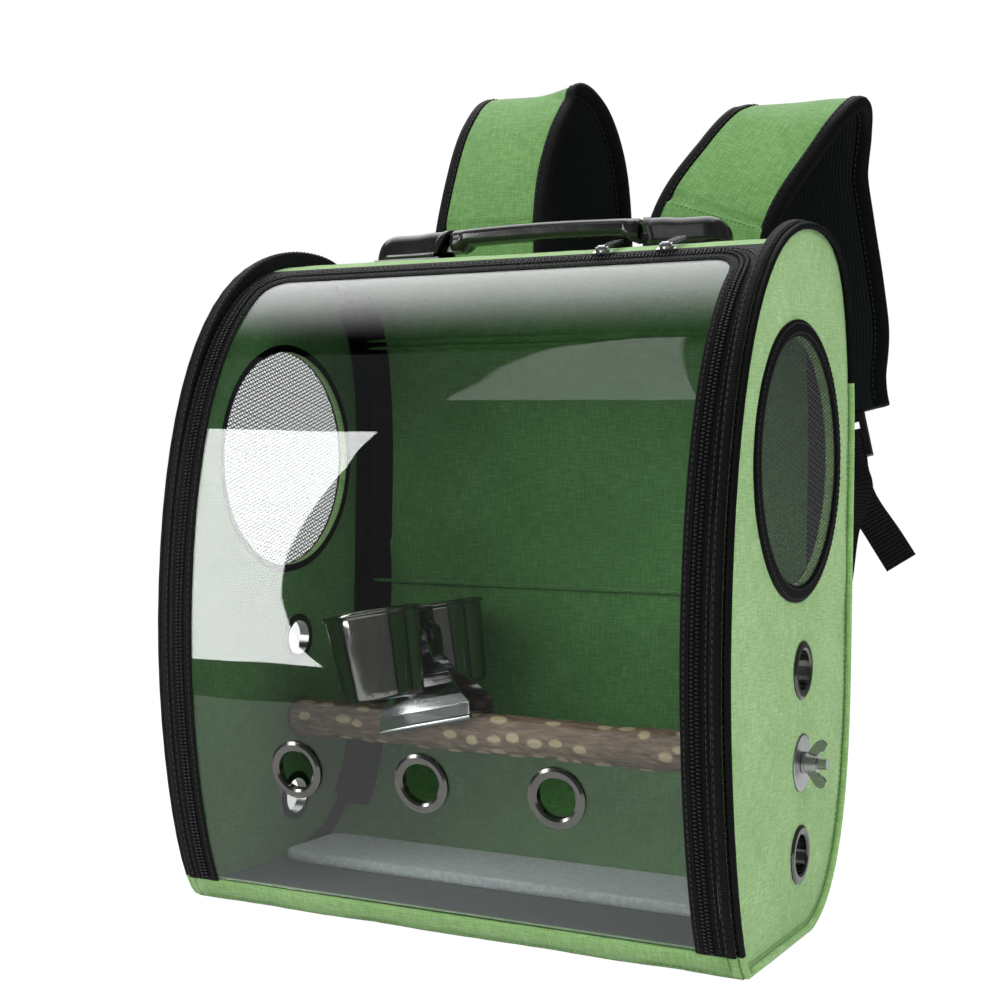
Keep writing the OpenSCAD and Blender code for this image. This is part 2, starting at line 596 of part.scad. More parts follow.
// One jaw facing +Y: curled lip, waisted plate, two ears on the pin and a looped lever
module jaw(ears) difference() {
    union() {
        intersection() {
            across(concat(jaw_line, reversed(jaw_face())), -clip_w/2, clip_w/2);
            translate([0, 60, 0]) rotate([90, 0, 0]) linear_extrude(120) union() {
                polygon([[-clip_w/2, -2], [clip_w/2, -2], [clip_w/2, 9], [lever_w/2 + 9, clip_pivot - 2],
                         [lever_w/2 + 3, clip_pivot + 6], [-lever_w/2 - 3, clip_pivot + 6],
                         [-lever_w/2 - 9, clip_pivot - 2], [-clip_w/2, 9]]);
                translate([-lever_w/2, 0]) square([lever_w, lever_top - lever_w/2]);
                translate([0, lever_top - lever_w/2]) circle(d = lever_w, $fn = 32);
            }
        }
        translate([-clip_w/2, lip_y + clip_t/2, 0]) rotate([0, 90, 0]) cylinder(h = clip_w, r = lip_r, $fn = 32);
        for (x = ears) translate([x, 0, clip_pivot]) rotate([0, 90, 0]) ear();
    }
    for (x = ears) translate([x - 0.5, 0, clip_pivot]) rotate([0, 90, 0])
        cylinder(h = ear_t + 1, r = pin_d/2 + pivot_slack, $fn = 32);
    translate([0, 0, lever_top - lever_w/2]) rotate([-90, 0, 0]) cylinder(h = 40, r = lever_w/2 - 3.4, $fn = 32);
}
lever_w = 16;
ear_t = 1.4;
ear_x = 10;
module ear() linear_extrude(ear_t) union() {
    circle(r = lug_r, $fn = 32);
    translate([-lug_r, 0]) square([2*lug_r, lug_r + 1.2]);
}
front_ears = [-ear_x - ear_t - slack, ear_x + slack];
rear_ears = [-ear_x + 0.2, ear_x - 0.2 - ear_t];
module clip_front_jaw() color(steel) at_clip() mirror([0, 1, 0]) jaw(front_ears);
module clip_rear_jaw() color(steel) at_clip() jaw(rear_ears);
module clip_pin() color(steel) at_clip() translate([-ear_x - 4, 0, clip_pivot]) rotate([0, 90, 0])
    cylinder(h = 2*ear_x + 8, d = pin_d, $fn = 32);

// Torsion spring: one wire wound round the pin between the ears
wire_r = 0.5;
coil_turns = 5;
coil_r = pin_d/2 + wire_r + 0.25;
coil_step = 2*wire_r + 0.5;
coil_start = -coil_turns*coil_step/2;
module clip_spring() color(steel) at_clip() translate([0, 0, clip_pivot]) skin([for (i = [0:coil_turns*8])
    let (a = 45*i, x = coil_start + coil_step*i/8) [for (j = [0:5]) let (b = 60*j, r = coil_r + wire_r*cos(b))
        [x + wire_r*sin(b), r*cos(a), r*sin(a)]]]);

// ---- cups ----
cup_x = -14;      // place of the cups' feet beside the middle of the clip
cup_tilt = 12;
cup_z = 22;       // foot of the cups above the perch axis
module at_cup(s) translate([clip_x + cup_x, perch_y + s*cup_out, perch_z + cup_z]) rotate([0, -cup_tilt, 0]) children();
module cup(s) at_cup(s) rotate_extrude($fn = 96) polygon([
    [0, 0], [cup_foot_d/2 - 3, 0], [cup_foot_d/2 - 0.9, 0.9], [cup_foot_d/2, 3], [cup_d/2 - 1.6, cup_h - 2.4],
    [cup_d/2 - 0.4, cup_h - 2.2], [cup_d/2, cup_h - 1], [cup_d/2 - 0.5, cup_h], [cup_d/2 - 1.6 - cup_t, cup_h],
    [cup_foot_d/2 - cup_t, 3.4], [cup_foot_d/2 - 1.6, 1.6], [cup_foot_d/2 - 3.4, cup_t], [0, cup_t]]);
module front_cup() color(steel) cup(-1);
module rear_cup() color(steel) cup(1);
rivet_u = -10;    // place of the cup rivet along the lips
rivet_v = 22;     // and up the clip
rivet_r = 3.5;
// Spacer rivet from the jaw to the cup's wall, both ends cut to fit
module cup_rivet(s) difference() {
    at_clip() translate([rivet_u, 0, rivet_v]) rotate([-90*s, 0, 0]) cylinder(h = cup_out, r = rivet_r, $fn = 32);
    at_clip() side_y(s) across(concat([[-1, 0]], jaw_face(), [[-1, lever_top]]), -clip_w/2, clip_w/2);
    at_cup(s) rotate_extrude($fn = 96) polygon([[0, -5], [cup_foot_d/2, -5], [cup_foot_d/2, 3],
        [cup_d/2 - 1.6, cup_h - 2.4], [0, cup_h - 2.4]]);
}
module side_y(s) if (s > 0) children(); else mirror([0, 1, 0]) children();
module front_cup_rivet() color(steel) cup_rivet(-1);
module rear_cup_rivet() color(steel) cup_rivet(1);

// ---- straps ----
// Fabric yoke across the shoulder of the back panel that both straps are sewn to
yoke_t = 2;
module strap_yoke() color(leaf_green)
    across(stretch(wrap, wrap_in, shoulder_i - 4, shoulder_i + 1, -yoke_t, 0), -strap_x - 60, strap_x + 60);

// Route of each strap: [X from its middle, Y from the back panel, Z], from its foot over the top and down
function back_at(z, k = crown_i) = wrap[k + 1][1] <= z
    ? wrap[k][0] + (z - wrap[k][1])*(wrap[k + 1][0] - wrap[k][0])/(wrap[k + 1][1] - wrap[k][1])
    : back_at(z, k + 1);
strap_off = yoke_t + strap_t/2 + 2*slack + 0.1;
route = body_h/396;   // the straps' route grows with the shell that they hang on
strap_rise = concat([for (q = [[8, 262, 0], [9, 292, 0.1], [10, 322, 0.9]])
                        [q[0], (back_at(q[1]*route) + strap_off + q[2] - back_y)/route, q[1]]],
                    [[10, 1.8, 352], [10, -1.2, 384]]);
left_over = [[8, 2, 420], [7, 12, 460], [8, 26, 492], [12, 46, 512], [21, 64, 502], [28, 77, 472],
             [30, 85, 432], [29, 88, 390], [22, 87, 352], [14, 83, 320], [9, 79, 292]];
right_over = [[14, 2, 420], [26, 12, 452], [38, 26, 478], [45, 46, 490], [44, 64, 480], [43, 77, 452],
              [46, 85, 418], [51, 88, 384], [56, 87, 350], [60, 83, 320], [66, 79, 296]];
right_shift = 5;
function strap_points(x, way) = smooth([for (q = way) [x + q[0]*route, back_y + q[1]*route, q[2]*route]], 3);
left_strap = strap_points(-strap_x, concat(strap_rise, left_over));
right_strap = strap_points(strap_x - right_shift, concat(strap_rise, right_over));
// Strap width along its length: flared at the foot, tapered to the buckle
function strap_widths(p) = let (n = len(p)) [for (i = [0:n - 1])
    strap_w*(i < 10 ? 1.04 : i > n - 8 ? 1 - 0.055*(i - n + 8) : 1)];
module left_shoulder_strap() color(leaf_green) band(left_strap, strap_widths(left_strap), strap_t);
module right_shoulder_strap() color(leaf_green) band(right_strap, strap_widths(right_strap), strap_t);

// Ladder-lock buckle below each pad: a frame with a middle bar
buckle_l = 30;
buckle_t = 5;
bar = 4;
function tip(p) = p[len(p) - 1];
function tip_way(p) = unit(p[len(p) - 1] - p[len(p) - 2]);
// Places what hangs below a pad: -Z runs on along the pad, X across it
module at_tip(p) {
    w = tip_way(p);
    a = unit([1, 0, 0] - w[0]*w);
    u = cross(w, a);
    e = tip(p) + w*slack;
    multmatrix([[a[0], -u[0], -w[0], e[0]], [a[1], -u[1], -w[1], e[1]], [a[2], -u[2], -w[2], e[2]], [0, 0, 0, 1]])
        children();
}
// Place below the buckle's last bar, d outwards from its middle
function buckle_end(p, d) = let (w = tip_way(p), a = unit([1, 0, 0] - w[0]*w))
    tip(p) + w*(buckle_l + 2*slack) - cross(w, a)*d;
module buckle() translate([-web_w/2 - bar, -buckle_t/2, -buckle_l]) difference() {
    cube([web_w + 2*bar, buckle_t, buckle_l]);
    translate([bar, -1, bar]) cube([web_w, buckle_t + 2, buckle_l/2 - 1.5*bar]);
    translate([bar, -1, buckle_l/2 + bar/2]) cube([web_w, buckle_t + 2, buckle_l/2 - 1.5*bar]);
}
module strap_buckles() color(trim_black) {
    at_tip(left_strap) buckle();
    at_tip(right_strap) buckle();
}

// Webbing from each buckle down to its anchor beside the heel
anchor_t = 2.3;
anchor_h = 30;
anchor_z = 118;
anchor_in = 17;
anchor_hem = 2;
web_rise = 50;                     // height over which the webbing comes in to its anchor
web_anchor = [inner_x - anchor_in, back_y + anchor_t + web_t/2 + slack, anchor_z];
web_out = web_t/2 + slack + 0.1;   // the two webbings lie on each other below the buckle
function web_points(p, s) = let (a = [s*web_anchor[0], web_anchor[1], web_anchor[2]],
    b = buckle_end(p, -web_out), w = tip_way(p))
    smooth([b, b + w*4, b + w*9, b + w*22 - [0, 2, 0], b*0.7 + a*0.3 + [s*3, -4, 0],
        b*0.46 + a*0.54 + [s*2, -1, 0], a + [-s*2, 9, web_rise], a + [0, 3, web_rise*0.54], a + [0, 0.3, web_rise*0.28], a,
        a - [0, 0, anchor_h*0.27]], 3);
module left_lower_webbing() color(trim_black) band(web_points(left_strap, -1), web_w, web_t);
module right_lower_webbing() color(trim_black) band(web_points(right_strap, 1), web_w, web_t);
// Free tail of the webbing: [along the pad's way, outwards, away from the back panel] for a tail 68 long
tail_l = 68;
tail_hem = 3;
tail_way = [[0, 0, 0], [4, 0, 0], [9, 0, 0], [18, 0.5, 3], [30, 2, 9], [48, 8, 17], [68, 15, 22]];
module webbing_tails() color(trim_black) for (q = [[-1, left_strap], [1, right_strap]])
    band(smooth([for (w = tail_way*tail_l/68) buckle_end(q[1], web_out) + tip_way(q[1])*w[0] + [q[0]*w[1], w[2], 0]], 3),
        web_w - tail_hem, web_t);
module webbing_anchors() color(trim_black) for (s = [-1, 1])
    translate([s*web_anchor[0] - web_w/2 - anchor_hem, back_y, web_anchor[2] - anchor_h/3])
        cube([web_w + 2*anchor_hem, anchor_t, anchor_h]);

bottom_panel();
back_panel();
top_panel();
left_side_panel();
right_side_panel();
left_edge_binding();
right_edge_binding();
left_piping();
right_piping();
left_window_net();
right_window_net();
left_window_ring();
right_window_ring();
left_eyelets();
right_eyelets();
sill_binding();
zip_tape_fixed();
zip_teeth_fixed();
zip_sliders();
left_zip_pull();
right_zip_pull();
front_sheet();
zip_tape_front();
zip_teeth_front();
front_eyelets();
left_back_binding();
right_back_binding();
floor_board();
floor_mat();
handle_base();
left_handle_cap();
right_handle_cap();
handle_grip();
handle_screws();
perch_branch();
perch_studs();
perch_inner_washers();
perch_outer_washers();
left_wing_nut();
right_wing_nut();
clip_front_jaw();
clip_rear_jaw();
clip_pin();
clip_spring();
front_cup();
rear_cup();
front_cup_rivet();
rear_cup_rivet();
strap_yoke();
left_shoulder_strap();
right_shoulder_strap();
strap_buckles();
left_lower_webbing();
right_lower_webbing();
webbing_tails();
webbing_anchors();
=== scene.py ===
"""Bird travel carrier: sewn fabric shell with a clear zipped front, net windows, a perch with two
steel cups, a carrying handle and shoulder straps. Lengths are in millimetres until a mesh is made."""

import bmesh
import bpy
import numpy as np
from mathutils import Matrix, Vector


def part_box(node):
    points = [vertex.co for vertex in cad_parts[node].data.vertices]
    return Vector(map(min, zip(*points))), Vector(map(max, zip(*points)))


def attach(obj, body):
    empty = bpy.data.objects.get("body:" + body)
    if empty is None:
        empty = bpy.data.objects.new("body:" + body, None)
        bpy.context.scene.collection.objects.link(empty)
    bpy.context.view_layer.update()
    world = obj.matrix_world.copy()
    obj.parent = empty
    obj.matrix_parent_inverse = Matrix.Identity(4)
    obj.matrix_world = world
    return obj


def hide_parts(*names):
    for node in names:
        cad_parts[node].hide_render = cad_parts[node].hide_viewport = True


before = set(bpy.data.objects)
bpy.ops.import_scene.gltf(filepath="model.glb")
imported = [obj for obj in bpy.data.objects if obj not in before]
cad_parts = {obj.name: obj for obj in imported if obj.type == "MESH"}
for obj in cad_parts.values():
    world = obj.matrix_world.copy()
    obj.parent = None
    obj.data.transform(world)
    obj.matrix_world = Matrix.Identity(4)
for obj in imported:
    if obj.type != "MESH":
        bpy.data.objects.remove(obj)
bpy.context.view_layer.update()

MM = 0.001
FINE = 8                                  # steps of this script for each step of the CAD outline

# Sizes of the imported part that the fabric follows
HALF_W, INNER_X, WRAP_X = 170.0, 165.0, 164.0
BODY_H, TOP_DROP, WALL_T = 396.0, 9.0, 4.0
FRONT_Y, BACK_Y, TOE_Y, CROWN_Y, HEEL_Y = -110.0, 110.0, -70.0, 35.0, 35.0
BELLY_Z, SHOULDER_Z, HEEL_Z = 172.0, 250.0, 140.0
SILL_I, TOP_I, CROWN_I, SEAM_I, BINDING_I, SHOULDER_I, HEEL_I, COUNT = 2, 19, 26, 32, 34, 36, 45, 46
ZIP_Y, ZIP_R, TEETH_X, COIL_W, COIL_GAP = -25.0, 24.0, 159.0, 2.3, 0.4
TAPE_T, COIL_H, SHEET_T, SHEET_TAPE_W = 0.8, 1.0, 1.2, 5.5
WINDOW_Y, WINDOW_Z, WINDOW_R, NET_R = 9.0, 263.0, 77.0, 68.0
HOLE_Y, HOLE_LOW, HOLE_HIGH, HOLE_R = 22.0, 46.0, 148.0, 13.4
FRONT_HOLES, FRONT_HOLE_Z = (-80.0, 0.0, 80.0), 88.0
PERCH_Y, PERCH_Z, PERCH_D, BRANCH_END = 22.0, 97.0, 24.0, 163.3
STRAP_W, STRAP_T, WEB_W, WEB_T, STRAP_X = 80.0, 9.0, 25.0, 1.8, 80.0
BACK_SEAMS = (("low", 182.0, 0.095), ("mid", 342.0, 0.55), ("high", 366.0, 0.55))  # height, half width in steps
SIDES = ((-1, "left"), (1, "right"))


# ---- numbers and curves ----
def unit(v):
    """Vectors over their lengths, along the last axis."""
    return v / np.maximum(np.linalg.norm(v, axis=-1, keepdims=True), 1e-9)


def cubic(a, b, c, d, n):
    """Cubic curve from a to d pulled towards b and c: s3 a + 3s2t b + 3st2 c + t3 d, end left off."""
    t = np.linspace(0, 1, n, endpoint=False)[:, None]
    s = 1 - t
    a, b, c, d = (np.array(q, float) for q in (a, b, c, d))
    return s**3 * a + 3 * s * s * t * b + 3 * s * t * t * c + t**3 * d


def outline(top):
    """Side view of the carrier as [Y, Z], up the front, over the crown, down the back and along the base."""
    rise = top - BELLY_Z
    return np.concatenate([
        cubic([TOE_Y, 0], [TOE_Y - 17, 8], [FRONT_Y, BELLY_Z * 0.55], [FRONT_Y, BELLY_Z], 10 * FINE),
        cubic([FRONT_Y, BELLY_Z], [FRONT_Y, BELLY_Z + rise * 0.6], [CROWN_Y - 103, top], [CROWN_Y, top], 16 * FINE),
        cubic([CROWN_Y, top], [CROWN_Y + 50, top], [BACK_Y, top - 24], [BACK_Y, SHOULDER_Z], 10 * FINE),
        cubic([BACK_Y, SHOULDER_Z], [BACK_Y, 213], [BACK_Y, 177], [BACK_Y, HEEL_Z], FINE),
        cubic([BACK_Y, HEEL_Z], [BACK_Y, HEEL_Z * 0.5], [HEEL_Y + 58, 8], [HEEL_Y, 0], 8 * FINE),
        cubic([HEEL_Y, 0], [0, 0], [-35, 0], [TOE_Y, 0], FINE)])


def inward(p):
    """Mitred normals of a closed outline: (a + b)/(1 + a.b) of the right-hand normals of its two edges."""
    e = unit(np.roll(p, -1, 0) - p)
    n = np.stack([e[:, 1], -e[:, 0]], 1)
    m = np.roll(n, 1, 0)
    return (n + m) / (1 + (n * m).sum(1))[:, None]


SIDE, WRAP = outline(BODY_H), outline(BODY_H - TOP_DROP)
SIDE_IN, WRAP_IN = inward(SIDE), inward(WRAP)


def stretch(i, j):
    """Indices of this script's outline from CAD point i to CAD point j."""
    return np.arange(i * FINE, j * FINE + 1) % (COUNT * FINE)


def smooth_way(points, k):
    """Catmull-Rom curve through given points, k steps between each two."""
    p = np.array(points, float)
    q = np.concatenate([p[:1], p, p[-1:]])
    t = np.linspace(0, 1, k, endpoint=False)[None, :, None]
    a, b, c, d = q[:-3, None], q[1:-2, None], q[2:-1, None], q[3:, None]
    c3 = 0.5 * (2 * b + (c - a) * t + (2 * a - 5 * b + 4 * c - d) * t**2 + (3 * b - a - 3 * c + d) * t**3)
    return np.concatenate([c3.reshape(-1, p.shape[1]), p[-1:]])


def frames(way):
    """Tangents along a way, directions across it kept near X, and the third direction."""
    t = unit(np.gradient(way, axis=0))
    x = np.array([1.0, 0, 0])
    across = unit(x - t[:, :1] * t)
    return t, across, np.cross(t, across)


def ripple(u, v, seed):
    """Soft hand-made unevenness from -1 to 1: five sine waves of seeded direction and length."""
    rng = np.random.default_rng(seed)
    total = 0
    for length in (90, 55, 34, 21, 13):
        a, phase = rng.uniform(0, 2 * np.pi, 2)
        total = total + length / 90 * np.sin((u * np.cos(a) + v * np.sin(a)) * 2 * np.pi / length + phase)
    return total / 2.2


def falloff(x, width):
    """0 at x = 0 rising smoothly to 1 at x = width."""
    t = np.clip(np.asarray(x, float) / width, 0, 1)
    return t * t * (3 - 2 * t)


def run(way):
    """Running length along a way, from 0."""
    return np.concatenate([[0], np.cumsum(np.linalg.norm(np.diff(way, axis=0), axis=1))])


def xyz(x, y, z):
    """Points from three arrays that broadcast together."""
    return np.stack(np.broadcast_arrays(x, y, z), -1)


def with_x(x, yz):
    """Points from X, one value or an array, and their [Y, Z]."""
    return np.concatenate([np.broadcast_to(x, yz.shape[:-1])[..., None], yz], -1)


def inset(line, normal, d):
    """Points at the depths d, one row of them or a whole grid, under each point of an outline."""
    return line[:, None] + normal[:, None] * np.asarray(d)[..., None]


def along(way, s, *more):
    """Points of a way, and of whatever else runs beside it, at the running lengths s."""
    gone = run(way)
    return [np.stack([np.interp(s, gone, q[:, k]) for k in range(3)], -1)
            for q in (way, np.gradient(way, gone, axis=0), *more)]


# ---- meshes ----
def placed(name, data):
    """A new object in the scene."""
    obj = bpy.data.objects.new(name, data)
    bpy.context.scene.collection.objects.link(obj)
    return obj


def mend(me, merge=None):
    """Turns a mesh's faces outwards, points nearer than merge metres being joined first."""
    bm = bmesh.new()
    bm.from_mesh(me)
    if merge:
        bmesh.ops.remove_doubles(bm, verts=bm.verts, dist=merge)
    bmesh.ops.recalc_face_normals(bm, faces=bm.faces)
    bm.to_mesh(me)
    bm.free()


def piece(name, verts, faces, finish, body, stands_for=(), uv=None, marks=None, flat=False, lining=None):
    """Makes one piece from points in mm; uv is per face corner in mm, marks one number per point, and
    the second finish (finish, first face, end face) is laid on some faces: the inner faces in painted shade."""
    verts, faces = np.asarray(verts, float).reshape(-1, 3), np.asarray(faces)
    used, back = np.unique(faces, return_inverse=True)
    verts, faces = verts[used], back.reshape(faces.shape)
    me = bpy.data.meshes.new(name)
    me.from_pydata((verts * MM).tolist(), [], faces.tolist())
    if uv is not None:
        me.uv_layers.new(name="cloth_mm").data.foreach_set("uv", np.asarray(uv, np.float32).reshape(-1, 2).ravel())
    if marks is not None:
        values = np.asarray(marks, np.float32).ravel()[used]
        me.attributes.new("mark", "FLOAT", "POINT").data.foreach_set("value", values)
    mend(me)
    me.polygons.foreach_set("use_smooth", np.full(len(me.polygons), not flat))
    obj = placed(name, me)
    me.materials.append(FINISH[finish])
    if lining:
        me.materials.append(FINISH[lining[0]])
        index = np.arange(len(me.polygons))
        me.polygons.foreach_set("material_index", ((index >= lining[1]) & (index < lining[2])).astype(np.int32))
    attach(obj, body)
    if stands_for:
        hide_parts(*stands_for)
    return obj


def cells(nu, nv, loop_u=False, loop_v=False):
    """Corner steps of every cell of a grid: [cell, corner, (u, v)]."""
    i, j = np.meshgrid(np.arange(nu - (not loop_u)), np.arange(nv - (not loop_v)), indexing="ij")
    return np.stack([np.stack([i + a, j + b], -1) for a, b in ((0, 0), (1, 0), (1, 1), (0, 1))], -2).reshape(-1, 4, 2)


def lengths(p):
    """Running length in mm along both directions of a grid, one step longer than it for closed grids."""
    out = []
    for axis in (0, 1):
        step = np.linalg.norm(np.roll(p, -1, axis) - p, axis=-1).mean(1 - axis)
        out.append(np.concatenate([[0], np.cumsum(step)]))
    return out


def corner_uv(c, u, v):
    """UV in mm of the face corners c."""
    return np.stack([u[c[..., 0]], v[c[..., 1]]], -1)


def tube(name, p, finish, body, stands_for=(), loop_u=False, **extra):
    """Closed sections p[u, v] joined along u; the ends are closed by strips between v and its mirror."""
    nu, nv = p.shape[:2]
    c = cells(nu, nv, loop_u, True)
    faces = (c[..., 0] % nu) * nv + c[..., 1] % nv
    u, v = lengths(p)
    uv = corner_uv(c, u, v)
    if not loop_u:
        j = np.arange(nv // 2 - 1)
        cap = np.stack([j, j + 1, nv - 2 - j, nv - 1 - j], -1)
        faces = np.concatenate([faces, cap, cap + (nu - 1) * nv])
        uv = np.concatenate([uv, np.zeros((2 * len(j), 4, 2))])
    return piece(name, p, faces, finish, body, stands_for, uv, **extra)


def slab(name, outer, inner, finish, body, stands_for=(), keep=None, loop_u=False, inside=None, plan=None, **extra):
    """Wall between two grids of points: both faces, and a strip along every edge and round every hole.
    inside is the inner face's finish; plan gives UV in mm for every point in place of running lengths."""
    nu, nv = outer.shape[:2]
    c = cells(nu, nv, loop_u)
    shape = (nu - (not loop_u), nv - 1)
    keep = np.ones(shape, bool) if keep is None else keep
    c = c[keep.ravel()]
    u, v = lengths(outer)
    mark = (lambda q: corner_uv(q, u, v)) if plan is None else (lambda q: plan[q[..., 0] % nu, q[..., 1]])
    face = (c[..., 0] % nu) * nv + c[..., 1]
    faces, uvs = [face, face[:, ::-1] + nu * nv], [mark(c), mark(c)[:, ::-1]]
    if inside:
        extra["lining"] = (inside, len(face), 2 * len(face))
    padded = np.zeros((shape[0] + 2, shape[1] + 2), bool)
    padded[1:-1, 1:-1] = keep
    if loop_u:
        padded[0], padded[-1] = padded[-2], padded[1]
    rows = padded[1:, 1:-1] != padded[:-1, 1:-1]
    i, j = np.nonzero(rows[:shape[0]] if loop_u else rows)
    m, n = np.nonzero(padded[1:-1, 1:] != padded[1:-1, :-1])
    for e in (np.array([[i, j], [i, j + 1]]), np.array([[m, n], [m + 1, n]])):
        e = e.transpose(2, 0, 1)                                    # [edge, end, (u, v)]
        a, b = ((e[:, k, 0] % nu) * nv + e[:, k, 1] for k in (0, 1))
        faces.append(np.stack([a, b, b + nu * nv, a + nu * nv], -1))
        uvs.append(mark(e[:, [0, 1, 1, 0]]))
    verts = np.concatenate([outer.reshape(-1, 3), inner.reshape(-1, 3)])
    return piece(name, verts, np.concatenate(faces), finish, body, stands_for, np.concatenate(uvs), **extra)


def turned(name, rings, finish, body, stands_for):
    """Piece from rings[k, u] whose first and last ring are each one point: rows joined, ends merged."""
    p = np.stack(rings, 1)
    n, k = p.shape[:2]
    c = cells(n, k, True)
    obj = piece(name, p, (c[..., 0] % n) * k + c[..., 1], finish, body, stands_for)
    mend(obj.data, 2e-5)
    return obj


def many(shape_points, shape_faces, at, x, y, z):
    """Copies of one small shape: its points laid at each place along that place's three directions."""
    p = sum(way[:, None] * shape_points[None, :, k:k + 1] for k, way in enumerate((x, y, z))) + at[:, None]
    return joined([(q, shape_faces) for q in p])


def joined(parts):
    """Points and faces of several shapes as one."""
    steps = np.cumsum([0] + [len(p) for p, _ in parts])
    return np.concatenate([p for p, _ in parts]), np.concatenate([f + n for (_, f), n in zip(parts, steps)])


def box_faces(n, k):
    """Faces of n rings of k points joined in a row; the two ends are closed by strips."""
    c = cells(n, k, False, True)
    side = c[..., 0] * k + c[..., 1] % k
    j = np.arange(k // 2 - 1)
    cap = np.stack([j, j + 1, k - 2 - j, k - 1 - j], -1)
    return np.concatenate([side, cap, cap + (n - 1) * k])


def stitch_shape(length, r):
    """One thread stitch: a lozenge along X whose ends dip into the cloth, five rings of six points."""
    t = np.array([-0.5, -0.38, 0, 0.38, 0.5])
    a = np.arange(6) * np.pi / 3
    size, dip = r * np.array([0.5, 0.95, 1.1, 0.95, 0.5]), -r * np.array([1.5, 0.3, 0, 0.3, 1.5])
    return np.stack([np.repeat(t * length, 6), (size[:, None] * np.cos(a)).ravel(),
                     (size[:, None] * np.sin(a) * 0.8 + dip[:, None]).ravel()], -1)


def stitches(name, runs, body, finish="black_thread", pitch=4.2, r=0.38):
    """Rows of stitches: each run is (points, outward normal or normals), and a stitch lies every pitch mm."""
    parts = []
    for way, out in runs:
        s = np.arange(pitch, run(way)[-1] - pitch / 2, pitch)
        at, t, n = along(way, s, np.broadcast_to(out, way.shape))
        t, n = unit(t), unit(n)
        parts.append(many(stitch_shape(pitch * 0.7, r), box_faces(5, 6), at + n * r * 0.4,
                          t, unit(np.cross(n, t)), n))
    piece(name, *joined(parts), finish, body)


# ---- finishes ----
def colour(code):
    """An sRGB hex colour as linear RGBA."""
    c = [int(code[i:i + 2], 16) / 255 for i in (1, 3, 5)]
    return tuple(x / 12.92 if x <= 0.04045 else ((x + 0.055) / 1.055)**2.4 for x in c) + (1.0,)


def add(tree, kind, inputs=None, **settings):
    """Adds a shader node: settings are its properties, inputs its values or the sockets that feed it."""
    n = tree.nodes.new("ShaderNode" + kind)
    for key, value in settings.items():
        setattr(n, key, value)
    for key, value in (inputs or {}).items():
        if isinstance(value, bpy.types.NodeSocket):
            tree.links.new(value, n.inputs[key])
        else:
            n.inputs[key].default_value = value
    return n


def blank(owner):
    """The emptied node tree of a material or a world."""
    owner.use_nodes = True
    owner.node_tree.nodes.clear()
    return owner.node_tree


def start(name):
    """A new finish: its material, its node tree and its Principled shader, already wired."""
    mat = bpy.data.materials.new(name)
    tree = blank(mat)
    shader = add(tree, "BsdfPrincipled")
    add(tree, "OutputMaterial", {0: shader.outputs[0]})
    return mat, tree, shader


def dress(tree, shader, **inputs):
    """Sets the shader's own sockets, by value or by link."""
    for key, value in inputs.items():
        socket = shader.inputs[key.replace("_", " ")]
        if isinstance(value, bpy.types.NodeSocket):
            tree.links.new(value, socket)
        else:
            socket.default_value = value


def choose(tree, factor, first, second):
    """Gives the material's output a mix of two shaders in place of what it had, and returns the mix."""
    out = next(n for n in tree.nodes if n.type == "OUTPUT_MATERIAL")
    mix = add(tree, "MixShader", {0: factor, 1: first.outputs[0], 2: second.outputs[0]})
    tree.links.new(mix.outputs[0], out.inputs[0])
    return mix


def place_on(tree):
    """Object coordinates, in metres."""
    return add(tree, "TexCoord").outputs["Object"]


def noise(tree, vector, scale, detail=2.0, rough=0.5):
    """Noise from 0 to 1 over a vector."""
    inputs = {"Vector": vector, "Scale": scale, "Detail": detail, "Roughness": rough}
    return add(tree, "TexNoise", inputs).outputs["Fac"]


def maths(tree, operation, a, b, c=0.0):
    """One sum of two or three values."""
    return add(tree, "Math", {0: a, 1: b, 2: c}, operation=operation).outputs[0]


def spread(tree, value, low, high, to_low=0.0, to_high=1.0):
    """A value stretched from low..high to to_low..to_high, and clamped."""
    return add(tree, "MapRange", {"Value": value, "From Min": low, "From Max": high, "To Min": to_low,
                                  "To Max": to_high}).outputs[0]


def tint(tree, factor, low, high):
    """Colour between two others, each a hex code or a socket."""
    low, high = (colour(c) if isinstance(c, str) else c for c in (low, high))
    return add(tree, "Mix", {0: factor, 6: low, 7: high}, data_type="RGBA").outputs[2]


def ramp(tree, factor, stops):
    """Colour ramp through stops, each (place, hex code)."""
    node = add(tree, "ValToRGB", {"Fac": factor})
    band = node.color_ramp.elements
    for k, (at, code) in enumerate((stops[0], stops[-1])):
        band[k].position, band[k].color = at, colour(code)
    for at, code in stops[1:-1]:
        band.new(at).color = colour(code)
    return node.outputs[0]


def relief(tree, height, strength, distance, under=None):
    """Normal bumped by a height, over another normal if one is given."""
    inputs = {"Height": height, "Strength": strength, "Distance": distance}
    if under is not None:
        inputs["Normal"] = under
    return add(tree, "Bump", inputs).outputs[0]


def threads(tree, spacing):
    """The cloth's own millimetres, and its warp, weft and weave: two crossed sine waves and their product."""
    place = add(tree, "UVMap", uv_map="cloth_mm").outputs[0]
    warp, weft = (add(tree, "TexWave", {"Vector": place, "Scale": 0.314 / spacing, "Distortion": 0.35, "Detail": 1.0,
                                        "Detail Scale": 0.4}, bands_direction=way).outputs["Fac"] for way in "XY")
    return place, warp, weft, maths(tree, "MULTIPLY", warp, weft)


